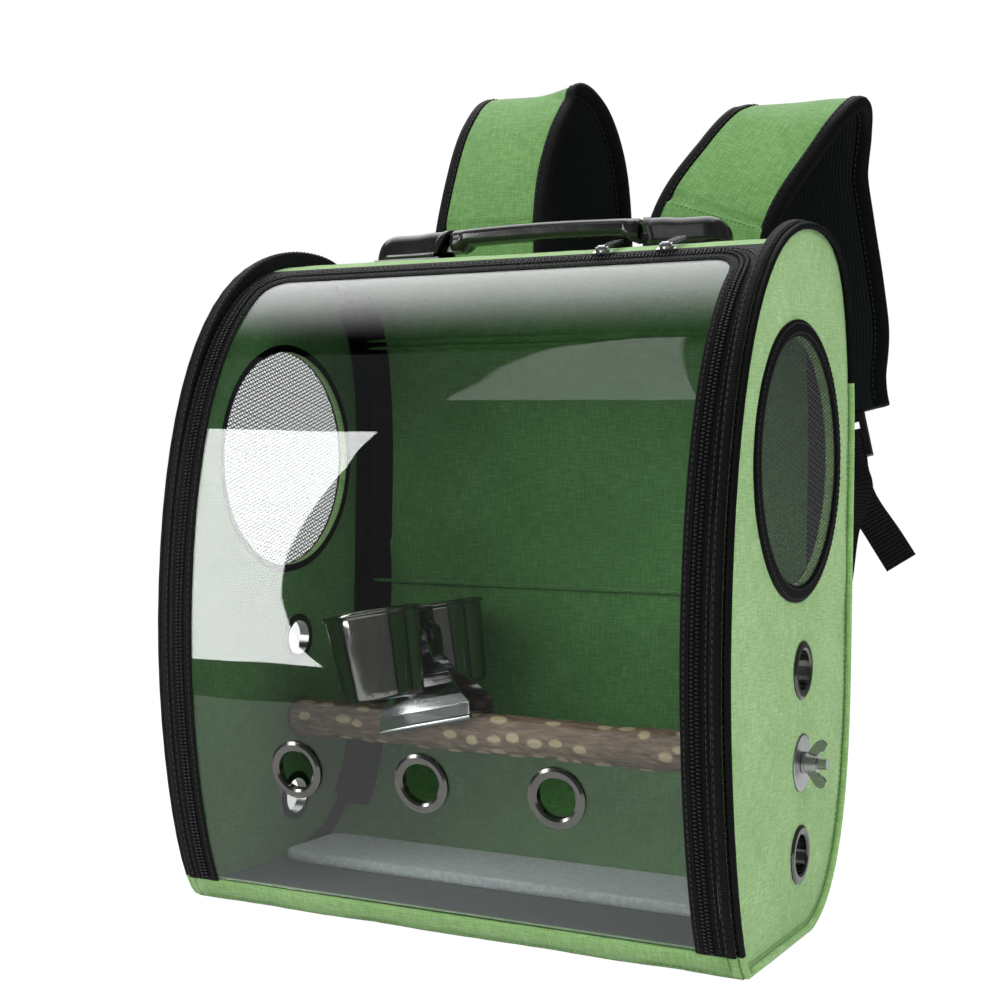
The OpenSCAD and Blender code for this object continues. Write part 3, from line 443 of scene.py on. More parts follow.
def heather_canvas(name, dark, mid, light):
    """Polyester melange canvas, plain woven from two-tone yarn: matt, with short pale and dark flecks
    along both thread directions. The 0.6 mm threads are drawn at 1.3 mm so that they show."""
    mat, tree, shader = start(name)
    place, _, _, weave = threads(tree, 1.3)
    flecks = []
    for k, size in enumerate(((0.09, 1.1, 1), (1.1, 0.09, 1))):   # yarn flecks 11 mm long and 0.9 mm wide
        along = add(tree, "Mapping", {"Vector": place, "Scale": size, "Location": (k * 7.3, 0, 0)}).outputs[0]
        flecks.append(noise(tree, along, 1.0, 3.0, 0.7))
    broad = noise(tree, place, 0.02)
    tone = maths(tree, "MULTIPLY_ADD", broad, 0.35, maths(tree, "ADD", *flecks))
    yarn = ramp(tree, spread(tree, tone, 0.9, 1.45), ((0, dark), (0.5, mid), (1, light)))
    normal = relief(tree, noise(tree, place, 0.035), 0.35, 0.004, relief(tree, weave, 0.35, 0.0004))
    # The weave's gaps are tinted towards the dark yarn colour: painted shade between the threads.
    dress(tree, shader, Base_Color=tint(tree, spread(tree, weave, 0, 1, 0.3, 0), yarn, dark), Roughness=0.85,
          Normal=normal, Specular_IOR_Level=0.25, Sheen_Weight=0.25, Sheen_Roughness=0.5)
    return mat


def ribbed_trim(name, base, lit, spacing, across, rough=0.62, depth=0.5):
    """Black polyester tape, woven with ribs across or along it: dull, with a faint grey lustre painted on the rib
    crests as a paler colour.
    """
    mat, tree, shader = start(name)
    place, warp, weft, _ = threads(tree, spacing)
    rib = warp if across else weft
    # Rib crests tinted towards the lit colour: a painted highlight.
    tone = tint(tree, maths(tree, "MULTIPLY", rib, noise(tree, place, 0.5, 3.0)), base, lit)
    dress(tree, shader, Base_Color=tone, Roughness=rough, Normal=relief(tree, rib, depth, 0.0004),
          Specular_IOR_Level=0.18)
    return mat


def plain_yarn(name, base, lit, rough):
    """Twisted or monofilament polyester yarn: small, with a slight lustre and a little unevenness."""
    mat, tree, shader = start(name)
    dress(tree, shader, Base_Color=tint(tree, noise(tree, place_on(tree), 900.0), base, lit), Roughness=rough,
          Specular_IOR_Level=0.4, Sheen_Weight=0.1)
    return mat


def felt_mat(name):
    """Needled grey fleece pad: fully matt, with mottled fibre clumps about 3 mm across."""
    mat, tree, shader = start(name)
    clump = noise(tree, place_on(tree), 330.0, 5.0, 0.7)
    dress(tree, shader, Base_Color=ramp(tree, clump, ((0.3, "#9EA6AA"), (0.7, "#C9CFD2"))), Roughness=0.95,
          Normal=relief(tree, clump, 0.6, 0.001), Specular_IOR_Level=0.15, Sheen_Weight=0.3)
    return mat


def clear_film(name):
    """Flexible PVC window film, calendered: colourless and glossy, with a slow waviness in its reflections.
    Lamps shine through it, so the cabin behind is lit."""
    mat, tree, shader = start(name)
    dress(tree, shader, Base_Color=colour("#F4F8F6"), Roughness=0.0, Transmission_Weight=1.0, IOR=1.46,
          Normal=relief(tree, noise(tree, place_on(tree), 9.0, 1.0), 0.03, 0.02))
    open_way = add(tree, "BsdfTransparent", {"Color": colour("#F0F5F2")})
    choose(tree, add(tree, "LightPath").outputs["Is Shadow Ray"], shader, open_way)
    return mat


def moulded_plastic(name, base, rough, grain, coat=0.0):
    """Injection-moulded polypropylene or nylon: black, with faint mould grain and handling scuffs."""
    mat, tree, shader = start(name)
    scuff = noise(tree, place_on(tree), 60.0, 6.0, 0.65)
    dress(tree, shader, Base_Color=tint(tree, scuff, base, "#1B1B1D"), IOR=1.49, Coat_Weight=coat,
          Coat_Roughness=0.12, Roughness=spread(tree, scuff, 0.3, 0.7, rough - 0.08, rough + 0.1),
          Normal=relief(tree, noise(tree, place_on(tree), 1600.0), grain, 0.0002))
    return mat


def bright_metal(name, base, rough, streak, grain=(1.0, 1.0, 1.0), worn="#D9DADC"):
    """Plated, polished or spun steel: metallic, its polish broken by fine streaks and finger marks."""
    mat, tree, shader = start(name)
    along = add(tree, "Mapping", {"Vector": place_on(tree), "Scale": grain}).outputs[0]
    fine, marks = noise(tree, along, 700.0, 4.0), noise(tree, place_on(tree), 45.0, 5.0)
    dress(tree, shader, Base_Color=tint(tree, marks, base, worn), Metallic=1.0,
          Roughness=spread(tree, maths(tree, "MULTIPLY", fine, marks), 0.1, 0.45, rough, rough + streak),
          Normal=relief(tree, fine, 0.05, 0.0002))
    return mat


def natural_branch(name):
    """Dried hardwood stick with its thin bark: matt grey-brown, paler buff where the knots are cut flush."""
    mat, tree, shader = start(name)
    along = add(tree, "Mapping", {"Vector": place_on(tree), "Scale": (90.0, 420.0, 420.0)}).outputs[0]
    grain = noise(tree, along, 1.0, 6.0, 0.7)
    bark = ramp(tree, grain, ((0.32, "#5B4637"), (0.7, "#9A8370")))
    knot = ramp(tree, grain, ((0, "#9C8567"), (1, "#DCC9A6")))
    mark = add(tree, "Attribute", attribute_name="mark").outputs["Fac"]
    dress(tree, shader, Base_Color=tint(tree, mark, bark, knot), Roughness=0.8, Specular_IOR_Level=0.3,
          Normal=relief(tree, grain, 0.7, 0.0009))
    return mat


def tray_board(name):
    """Pressed polypropylene base board: dark grey and matt, with a leathery mould texture 1.5 mm across."""
    mat, tree, shader = start(name)
    cell = add(tree, "TexVoronoi", {"Vector": place_on(tree), "Scale": 600.0}).outputs["Distance"]
    dress(tree, shader, Base_Color=tint(tree, cell, "#4A5052", "#5C6264"), Roughness=0.6,
          Normal=relief(tree, cell, 0.3, 0.0004))
    return mat


FINISH = {
    "canvas": heather_canvas("heather_canvas_leaf_green", "#76A05A", "#93BC76", "#B8DA9C"),
    # Darker copy of the canvas for the faces inside the cabin: painted shade.
    "lining": heather_canvas("heather_canvas_painted_shade", "#3C6533", "#4C7A41", "#64935A"),
    "strap_cloth": heather_canvas("heather_canvas_strap", "#5B8647", "#6F9B5A", "#8CB876"),
    "trim": ribbed_trim("polyester_binding_black", "#060607", "#111113", 1.5, True),
    "webbing": ribbed_trim("polyester_webbing_black", "#0D0D0E", "#242527", 2.6, True, depth=0.9),
    "zip_tape": ribbed_trim("woven_zip_tape_black", "#060606", "#0F0F10", 1.1, False),
    "strap_lining": ribbed_trim("air_mesh_lining_black", "#101314", "#22282A", 2.2, False, 0.8),
    "net": plain_yarn("monofilament_net_black", "#1F2021", "#424446", 0.5),
    "black_thread": plain_yarn("polyester_thread_black", "#121213", "#2C2C2E", 0.6),
    "green_thread": plain_yarn("polyester_thread_green", "#5E8B4C", "#8DBB75", 0.6),
    "zip_coil": moulded_plastic("nylon_zip_coil_black", "#0C0C0D", 0.42, 0.1),
    "film": clear_film("clear_pvc_film"),
    "mat": felt_mat("needled_fleece_grey"),
    "branch": natural_branch("dried_branch_with_knots"),
    "handle": moulded_plastic("moulded_polypropylene_black", "#0A0A0B", 0.24, 0.05, 0.35),
    "buckle": moulded_plastic("moulded_acetal_black", "#0C0C0D", 0.34, 0.1),
    "chrome": bright_metal("chrome_plate", "#5A5A57", 0.1, 0.14, (1.0, 1.0, 1.0), "#8C8C88"),
    "zinc": bright_metal("zinc_plated_steel", "#B4B6B9", 0.2, 0.25),
    "spun_steel": bright_metal("spun_stainless_steel", "#94928E", 0.08, 0.12, (1.0, 1.0, 0.02), "#B2B0AC"),
    "clip_steel": bright_metal("bright_spring_steel", "#C2C3C6", 0.09, 0.12),
    "board": tray_board("pressed_board_grey"),
}
NODE_FINISH = {
    "chrome": "left_eyelets right_eyelets front_eyelets clip_pin",
    "zinc": "perch_studs perch_inner_washers perch_outer_washers left_wing_nut right_wing_nut handle_screws "
            "clip_spring front_cup_rivet rear_cup_rivet",
    "clip_steel": "zip_sliders left_zip_pull right_zip_pull clip_front_jaw clip_rear_jaw", "board": "floor_board",
    "handle": "handle_base", "buckle": "strap_buckles"}


# ---- shell ----
def wrap_panel(name, k, half, node, seed, puff=0.0, seams=()):
    """Fabric panel across the carrier over the outline's points k: it swells outwards by puff in its middle,
    waves a little, and has a narrow groove inside at each seam height."""
    x, s = np.linspace(-half, half, 97), run(WRAP[k])
    swell = np.sin(np.pi * (x + half) / (2 * half)) * np.sin(np.pi * s / s[-1])[:, None]
    wave = ripple(s[:, None], x, seed) * falloff(np.minimum(s, s[-1] - s), 14)[:, None] * falloff(half - abs(x), 14)
    groove = sum(np.exp(-((WRAP[k, 1:] - h) / 1.8)**2) for h in seams)
    outer, inner = (with_x(x, inset(WRAP[k], WRAP_IN[k], d))
                    for d in (-puff * swell - 0.5 * wave, WALL_T - 0.8 * wave - 1.6 * groove))
    # The inner face takes the darker canvas: painted shade of the cabin.
    slab(name, outer, inner, "canvas", "shell", [node], inside="lining")


def shell_panels():
    """Base with the front sill, back with the folds of its seams, and top of the shell."""
    wrap_panel("base_panel", stretch(HEEL_I, COUNT + SILL_I), INNER_X, "bottom_panel", 2)
    wrap_panel("back_panel_cloth", stretch(SEAM_I, HEEL_I), WRAP_X, "back_panel", 3,
               seams=[h for _, h, _ in BACK_SEAMS])
    x, a = np.linspace(-WRAP_X + 2, WRAP_X - 2, 61)[:, None], np.linspace(0, np.pi, 8)
    k = np.arange(SEAM_I * FINE, HEEL_I * FINE)
    for tag, h, wide in BACK_SEAMS:
        t = np.interp(-h, -WRAP[k, 1], k) + np.cos(a) * wide
        # The seam folds inside take the darker canvas: painted shade of the cabin.
        tube(f"back_seam_fold_{tag}", skin(x, t, -WALL_T - 0.1 - 1.1 * np.sin(a)), "lining", "shell")
    k = stretch(TOP_I, SEAM_I)
    wrap_panel("top_panel_cloth", k[WRAP[k, 0] >= ZIP_Y + 1.8], WRAP_X, "top_panel", 4, 0.6)


def side_panels():
    """Side panels: rings of points from the round window out to the panel's outline, with a slight swell
    and soft pulls round the window; the cells over the air holes are left out."""
    centre = np.array([WINDOW_Y, WINDOW_Z])
    ray = unit(SIDE - centre)
    s = np.linspace(0, 1, 74)[None, :, None]
    yz = (centre + ray * NET_R)[:, None] * (1 - s) + SIDE[:, None] * s
    edge = np.minimum(falloff(s[..., 0] * 60, 18), falloff((1 - s[..., 0]) * 60, 10))
    holes = [np.array([HOLE_Y, z]) for z in (HOLE_LOW, HOLE_HIGH)]
    for hole in holes:                              # draw the nearest points onto the hole's rim
        away = yz - hole
        r = np.linalg.norm(away, axis=-1, keepdims=True)
        yz = np.where(abs(r - HOLE_R) < 1.9, hole + away / r * HOLE_R, yz)
    pairs = (yz + np.roll(yz, -1, 0)) / 4
    mid = pairs[:, :-1] + pairs[:, 1:]
    keep = np.all([np.linalg.norm(mid - hole, axis=-1) > HOLE_R - 0.4 for hole in holes], 0)
    near = np.prod([falloff(np.linalg.norm(yz - hole, axis=-1) - 17, 12) for hole in holes], 0)
    for sign, side in SIDES:
        pull = ripple(yz[..., 0], yz[..., 1], 11 + sign) * edge * near
        puff = (0.35 + 0.55 * pull) * near * edge
        # The inner faces take the darker canvas: painted shade of the cabin.
        slab(side + "_side_cloth", with_x(sign * (HALF_W + puff), yz), with_x(sign * (INNER_X + 0.5 * pull), yz),
             "canvas", "shell", [side + "_side_panel"], keep, True, "lining", yz)


def edge_bindings():
    """Black binding folded over the front and top edge of each side panel: a rounded L-section (X, depth)
    carried along the outline, and its inner leg alone down the rear corner."""
    fold = [(WRAP_X, 15), (WRAP_X - 0.15, 8), (WRAP_X, 0.4), (WRAP_X + 0.5, -0.6), (WRAP_X + 1.8, -0.95),
            (HALF_W - 1.8, -0.95), (HALF_W - 0.3, -0.6), (HALF_W + 0.12, 0.3), (HALF_W + 0.1, 2.2),
            (HALF_W - 0.2, 2.2), (HALF_W - 0.4, 0.5), (HALF_W - 0.9, 0.15), (INNER_X + 1.2, 0.15),
            (INNER_X + 0.1, 0.9), (INNER_X + 0.02, 8), (INNER_X, 15)]
    leg = [(WRAP_X, 15), (WRAP_X - 0.1, 8), (WRAP_X, 0.3), (WRAP_X + 0.9, 0.3), (INNER_X, 8), (INNER_X, 15)]
    for sign, side in SIDES:
        for tag, section, i, j in (("binding", fold, SILL_I, BINDING_I), ("binding_leg", leg, BINDING_I, HEEL_I)):
            k = stretch(i, j)
            x, d = np.array(section, float).T
            yz = inset(SIDE[k], SIDE_IN[k], d)
            tube(f"{side}_{tag}", with_x(sign * x, yz), "trim", "shell", [side + "_edge_binding"])
            if tag == "binding":
                runs = [(with_x(sign * (WRAP_X + 1.5), SIDE[k] - SIDE_IN[k] * 0.85), with_x(0, -SIDE_IN[k])),
                        (with_x(sign * (HALF_W + 0.15), SIDE[k] + SIDE_IN[k] * 1.6), [sign, 0, 0])]
        stitches(side + "_binding_stitches", runs, "shell")


def pipings():
    """Fabric-covered cord sewn along each side panel's edge: a tube of radius 2 round the outline, with a
    slight twist of the cloth, and a row of stitches beside it."""
    a = np.linspace(0, 2 * np.pi, 12, endpoint=False)
    r = 1.95 + 0.12 * np.sin(np.arange(len(SIDE)) * 0.9)
    yz = inset(SIDE + SIDE_IN * 2.5, unit(SIDE_IN), r[:, None] * np.sin(a))
    for sign, side in SIDES:
        p = with_x(sign * (HALF_W + 2.0 + 2.0 * np.cos(a)), yz)
        for tag, finish, k in (("cord", "canvas", stretch(BINDING_I, COUNT + SILL_I)),
                               ("cord_bound", "trim", stretch(SILL_I, BINDING_I))):
            tube(f"{side}_piping_{tag}", p[k], finish, "shell", [side + "_piping"])
        line = with_x(sign * (HALF_W + 0.35), SIDE + SIDE_IN * 6.2)[stretch(BINDING_I, COUNT + SILL_I)]
        stitches(side + "_piping_stitches", [(line, [sign, 0, 0])], "shell", "green_thread", 3.6, 0.3)


def corner_bindings():
    """Black binding folded into each rear corner: two rounded legs 18 mm wide along the shoulder."""
    k = stretch(CROWN_I + 3, SHOULDER_I + 6)
    w = 18.0
    section = [(0, w), (-0.6, w * 0.5), (-1.1, 3.2), (-3.2, 1.1), (-w * 0.5, 0.6), (-w, 0.3),
               (-w, 0), (-w * 0.5, 0), (-3.2, 0), (-0.2, 0.2), (0, w * 0.4), (0, w * 0.9)]
    x, d = np.array(section, float).T
    yz = inset(WRAP[k], WRAP_IN[k], d + WALL_T + 0.1)
    for sign, side in SIDES:
        tube(side + "_corner_binding", with_x(sign * (WRAP_X + x), yz), "trim", "shell", [side + "_back_binding"])


def windows():
    """Round net windows: a sewn ring, swept round, over a fine knitted net of crossed strands."""
    t = np.linspace(0, 2 * np.pi, 181)
    rays, centre = np.stack([np.cos(t), np.sin(t)], -1), np.array([WINDOW_Y, WINDOW_Z])
    lap = [(WINDOW_R, 0.0), (WINDOW_R + 0.1, 0.9), (WINDOW_R - 0.8, 1.7), (WINDOW_R - 2.4, 1.9),
           (WINDOW_R - 4.5, 2.0), (NET_R + 2.4, 2.2), (NET_R + 0.8, 2.0), (NET_R, 1.3), (NET_R, 0.82),
           (NET_R + 3, 0.82), (NET_R + 4.4, 0.5), (NET_R + 4.5, 0.0)]
    hem = [(NET_R - 0.3, 0.1), (NET_R + 0.4, -0.6), (NET_R + 3.5, -0.7), (NET_R + 4.2, 0.0), (NET_R + 3.5, 0.2),
           (NET_R + 0.4, 0.2)]
    pitch, wide, thick = 2.2, 0.7, 0.3              # net mesh, strand width and thickness
    for sign, side in SIDES:
        wave = 1 + 0.0012 * np.sin(t[:-1] * 9 + sign)[:, None]
        for tag, section, x0, node in (("binding", lap, HALF_W, [side + "_window_ring"]), ("hem", hem, INNER_X, [])):
            r, h = np.array(section).T
            ring = with_x(sign * (x0 + h), centre + rays[:-1, None] * (r * wave)[..., None])
            tube(f"{side}_window_{tag}", ring, "trim", "shell", node, True)
        stitches(side + "_window_stitches", [(with_x(sign * (HALF_W + lift), centre + rays * row), [sign, 0, 0])
                                             for row, lift in ((WINDOW_R - 1.9, 1.85), (NET_R + 2.0, 2.15))],
                 "shell", pitch=3.8)
        parts = []
        for layer, turn in enumerate(np.radians([20.0, -44.0, -12.0])):
            offs = np.arange(-NET_R - 3, NET_R + 3, pitch if layer < 2 else pitch * 1.4) + 0.3 * layer
            half = np.sqrt(np.maximum((NET_R + 3.6)**2 - offs**2, 0))
            way, aside = np.array([np.cos(turn), np.sin(turn)]), np.array([-np.sin(turn), np.cos(turn)])
            across = np.array([-wide, 0, wide, 0]) / 2 * (0.55 if layer == 2 else 1.0)
            high = np.array([0, thick, 0, -thick]) / 2
            ends = np.stack([-half, half], 1)[:, :, None, None]                    # [strand, end, corner, (y, z)]
            yz = aside * (offs[:, None, None, None] + across[:, None]) + way * ends
            p = with_x(sign * (HALF_W + 0.2 + 0.17 * layer + high), yz + centre)
            parts += [(strand.reshape(-1, 3), box_faces(2, 4)) for strand in p]
        piece(side + "_window_mesh", *joined(parts), "net", "shell", [side + "_window_net"], flat=True)


# ---- clear front and its zip ----
STEP_T = np.arange(COUNT * FINE + 1)
WRAP_CLOSED, OUT_CLOSED = np.vstack([WRAP, WRAP[:1]]), -np.vstack([WRAP_IN, WRAP_IN[:1]])
TOP_T = np.arange(10 * FINE + 4, CROWN_I * FINE + 3 * FINE)


def skin(x, t, lift=0.0):
    """Points on the front skin at the place x across and t along the outline, raised by lift."""
    x, t, lift = np.broadcast_arrays(x, t, lift)
    yz, out = (np.stack([np.interp(t, STEP_T, g[:, k]) for k in (0, 1)], -1) for g in (WRAP_CLOSED, OUT_CLOSED))
    return with_x(x, yz + out * lift[..., None])


def t_at(y):
    """Place along the outline at which the top of the front skin has the given Y."""
    return np.interp(y, WRAP[TOP_T, 0], TOP_T)


def zip_line(off, steps=150):
    """The zip's U as (x, t): up one side, round a corner of plan radius ZIP_R + off, and across the top.
    off is the distance outwards from the fixed row's outer edge."""
    x0, r, bend_y = TEETH_X + off, ZIP_R + off, ZIP_Y - ZIP_R
    t_side = np.linspace(SILL_I * FINE, t_at(bend_y), steps)
    a = np.linspace(0, np.pi / 2, 21)[1:]
    x_bend, t_bend = x0 - r + r * np.cos(a), t_at(bend_y + r * np.sin(a))
    x_top = np.linspace(x0 - r, -(x0 - r), 61)[1:-1]
    x = np.concatenate([np.full(steps, x0), x_bend, x_top, -x_bend[::-1], np.full(steps, -x0)])
    t = np.concatenate([t_side, t_bend, np.full(len(x_top), t_at(ZIP_Y + off)), t_bend[::-1], t_side[::-1]])
    return x, t


def zip_strip(name, offs_lifts, finish, body, stands_for=()):
    """Strip along the zip with the closed section given as (off, lift) pairs."""
    p = np.stack([skin(*zip_line(off), lift) for off, lift in offs_lifts], 1)
    tube(name, p, finish, body, stands_for)


def zip_teeth(name, off, body, stands_for, shift):
    """Coil teeth every 2.1 mm: rounded bars across the row, drawn from half rings of six points."""
    x, t = zip_line(off)
    way, high = skin(x, t, TAPE_T * 0.8), skin(x, t, TAPE_T * 0.8 + 1)
    at, tangent, n = along(way, np.arange(2 + shift, run(way)[-1] - 2, 2.1), high - way)
    n, tangent = unit(n), unit(tangent)
    side = np.cross(tangent, n)
    wide, high_mm, half = 1.15, COIL_H * 1.05, COIL_W / 2 - 0.05
    a = np.array([-1.0, -0.95, -0.55, 0.55, 0.95, 1.0])
    b = np.array([0.0, 0.55, 1.0, 1.0, 0.55, 0.0])
    rings = []
    for place, size in ((-1.0, 0.55), (-0.75, 1.0), (0.75, 1.0), (1.0, 0.55)):
        rings.append(np.stack([a * wide / 2 * size, np.full(6, place * half), b * high_mm * (0.4 + 0.6 * size)], -1))
    p, f = many(np.concatenate(rings), box_faces(4, 6), at, tangent, side, n)
    piece(name, p, f, "zip_coil", body, stands_for)


def tape_stitches(name, off, lift, body):
    """Row of stitches along a zip tape."""
    line = skin(*zip_line(off), lift)
    stitches(name, [(line, skin(*zip_line(off), TAPE_T + 1) - line)], body, pitch=3.6)


def fixed_zip():
    """Shell side of the zip: its tape laid out to the bindings and the top panel, and its coil."""
    x_in, t_in = zip_line(0.0)
    n_side = 150
    y_back, r = ZIP_Y + 8.0, 3.0
    bend_y = ZIP_Y - ZIP_R
    corner = np.array([[WRAP_X, bend_y], [WRAP_X, y_back - r], [WRAP_X - 0.9, y_back - 0.9], [WRAP_X - r, y_back],
                       [TEETH_X - ZIP_R, y_back]])
    gone = run(corner)
    s = np.linspace(0, gone[-1], 21)[1:]
    cx, cy = (np.interp(s, gone, corner[:, k]) for k in (0, 1))
    x_out = np.concatenate([np.full(n_side, WRAP_X), cx, x_in[n_side + 20:-n_side - 20], -cx[::-1],
                            np.full(n_side, -WRAP_X)])
    ty = t_at(cy)
    t_out = np.concatenate([t_in[:n_side], ty, np.full(len(x_in) - 2 * n_side - 40, t_at(y_back)), ty[::-1],
                            t_in[-n_side:]])
    w = np.linspace(0, 1, 7)
    x, t = x_in[:, None] * (1 - w) + x_out[:, None] * w, t_in[:, None] * (1 - w) + t_out[:, None] * w
    rib = TAPE_T * (0.75 + 0.25 * np.cos(w * 4 * np.pi))
    slab("zip_tape_outer", skin(x, t, rib), skin(x, t, 0.05), "zip_tape", "shell", ["zip_tape_fixed"])
    zip_strip("zip_coil_bed_outer", [(-0.1, 0.05), (-0.1, 0.6), (-2.47, 0.6), (-2.47, 0.05)], "zip_tape", "shell")
    zip_teeth("zip_coil_outer", -COIL_W / 2, "shell", ["zip_teeth_fixed"], 0.0)
    tape_stitches("zip_tape_stitches", 3.2, TAPE_T, "shell")


def front_panel():
    """Clear film inside the zip: a grid whose rows narrow round the top corners, with three air holes,
    and the front tape and coil that ride with it."""
    half_film = TEETH_X - COIL_W - COIL_GAP - 1.0
    off = half_film - TEETH_X
    t = np.linspace(SILL_I * FINE + 0.5, t_at(ZIP_Y + off), 190)
    y = np.interp(t, STEP_T, WRAP_CLOSED[:, 0])
    r, bend_y = ZIP_R + off, ZIP_Y - ZIP_R
    on_top = (t > 12 * FINE) & (y > bend_y)
    w = np.where(on_top, half_film - r + np.sqrt(np.maximum(r * r - np.clip(y - bend_y, 0, r)**2, 0)), half_film)
    v = np.linspace(-1, 1, 191)
    x, tt = np.broadcast_arrays(w[:, None] * v, t[:, None])
    hole_t = np.interp(FRONT_HOLE_Z, WRAP[:10 * FINE, 1], np.arange(10 * FINE))
    per_t = np.linalg.norm(skin(0.0, hole_t + 1) - skin(0.0, hole_t))        # mm for each step of t
    keep = np.ones((len(t) - 1, len(v) - 1), bool)
    for cx in FRONT_HOLES:
        dx, dt = x - cx, (tt - hole_t) * per_t
        d = np.hypot(dx, dt)
        snap = abs(d - HOLE_R) < 1.3
        x = np.where(snap, cx + dx / d * HOLE_R, x)
        tt = np.where(snap, hole_t + dt / d * HOLE_R / per_t, tt)
        mx, mt = ((g[1:, 1:] + g[1:, :-1] + g[:-1, 1:] + g[:-1, :-1]) / 4 for g in (x - cx, (tt - hole_t) * per_t))
        keep &= np.hypot(mx, mt) > HOLE_R - 0.3
    slab("clear_front", skin(x, tt, -0.05), skin(x, tt, -SHEET_T), "film", "front_panel", ["front_sheet"], keep)
    a = -COIL_W - COIL_GAP
    near, far = a - COIL_W, a - COIL_W - SHEET_TAPE_W
    zip_strip("zip_tape_inner", [(near, 0.05), (near, 0.75), (a - 3.6, 0.8), (a - 6.6, 0.65), (far, 0.35),
                                 (far, 0.02), (a - 6.6, 0.02), (a - 3.6, 0.02)], "zip_tape", "front_panel",
              ["zip_tape_front"])
    zip_strip("zip_coil_bed_inner", [(a + 0.18, 0.05), (a + 0.18, 0.6), (a - 2.2, 0.6), (a - 2.2, 0.05)], "zip_tape",
              "front_panel")
    zip_teeth("zip_coil_inner", a - COIL_W / 2, "front_panel", ["zip_teeth_front"], 1.05)
    tape_stitches("front_tape_stitches", a - 5.6, TAPE_T * 0.9, "front_panel")


def sill():
    """Canvas welt along the top of the front sill, a rounded strip across the carrier, and its stitches."""
    x = np.linspace(-INNER_X, INNER_X, 61)
    t, lift = np.array([(1.0, 0.05), (1.0, 0.5), (1.15, 0.85), (1.6, 0.9), (1.88, 0.75), (1.97, 0.35), (1.97, 0.05),
                        (1.5, 0.02)]).T
    tube("sill_welt", skin(x[:, None], t * FINE, lift), "canvas", "shell", ["sill_binding"])
    line = skin(x, 0.62 * FINE, 0.1)
    stitches("sill_stitches", [(line, skin(x, 0.62 * FINE, 1.1) - line)], "shell", "green_thread", 3.6, 0.3)


# ---- straps ----
def back_at(z):
    """Y of the back of the shell at the height z."""
    k = stretch(CROWN_I, SHOULDER_I + 1)
    return float(np.interp(-z, -WRAP[k, 1], WRAP[k, 0]))


STRAP_OFF = 2.0 + STRAP_T / 2 + 0.7
RISE = [[q, back_at(z) + STRAP_OFF + lift, z] for q, z, lift in ((8, 262, 0), (9, 292, 0.1), (10, 322, 0.9))] \
    + [[10, BACK_Y + 1.8, 352], [10, BACK_Y - 1.2, 384]]
LEFT_OVER = [[8, 112, 420], [7, 122, 460], [8, 136, 492], [12, 156, 512], [21, 174, 502], [28, 187, 472],
             [30, 195, 432], [29, 198, 390], [22, 197, 352], [14, 193, 320], [9, 189, 292]]
RIGHT_OVER = [[14, 112, 420], [26, 122, 452], [38, 136, 478], [45, 156, 490], [44, 174, 480], [43, 187, 452],
              [46, 195, 418], [51, 198, 384], [56, 197, 350], [60, 193, 320], [66, 189, 296]]


def strap_way(over, x0, lean):
    """Points along the middle of a strap, from its foot up the back and over to the buckle; lean shifts the
    first ones in X."""
    way = np.array(RISE + over) + [x0, 0, 0]
    way[:len(lean), 0] += lean
    return way


STRAP_WAYS = {"left": strap_way(LEFT_OVER, -STRAP_X, [-6, -6, -6, -6, -5, -4, -2]),
              "right": strap_way(RIGHT_OVER, STRAP_X - 5.0, [-13, -13, -13, -12, -10, -5, 0, 5, 6, 4])}


def across_strap(way, half, share, mm, h):
    """Points over a strap: share of its half width plus mm to the side, and h up, each a row or a whole grid."""
    _, across, up = frames(way)
    return way[:, None] + across[:, None] * (share * half[:, None] + mm)[..., None] + up[:, None] * h[..., None]


def strap_end(side):
    """End of a strap's pad, and the directions onwards, across and up there."""
    p = smooth_way(STRAP_WAYS[side], 3)
    onward = unit(p[-1] - p[-2])
    across = unit(np.array([1.0, 0, 0]) - onward[0] * onward)
    return p[-1], onward, across, np.cross(onward, across)


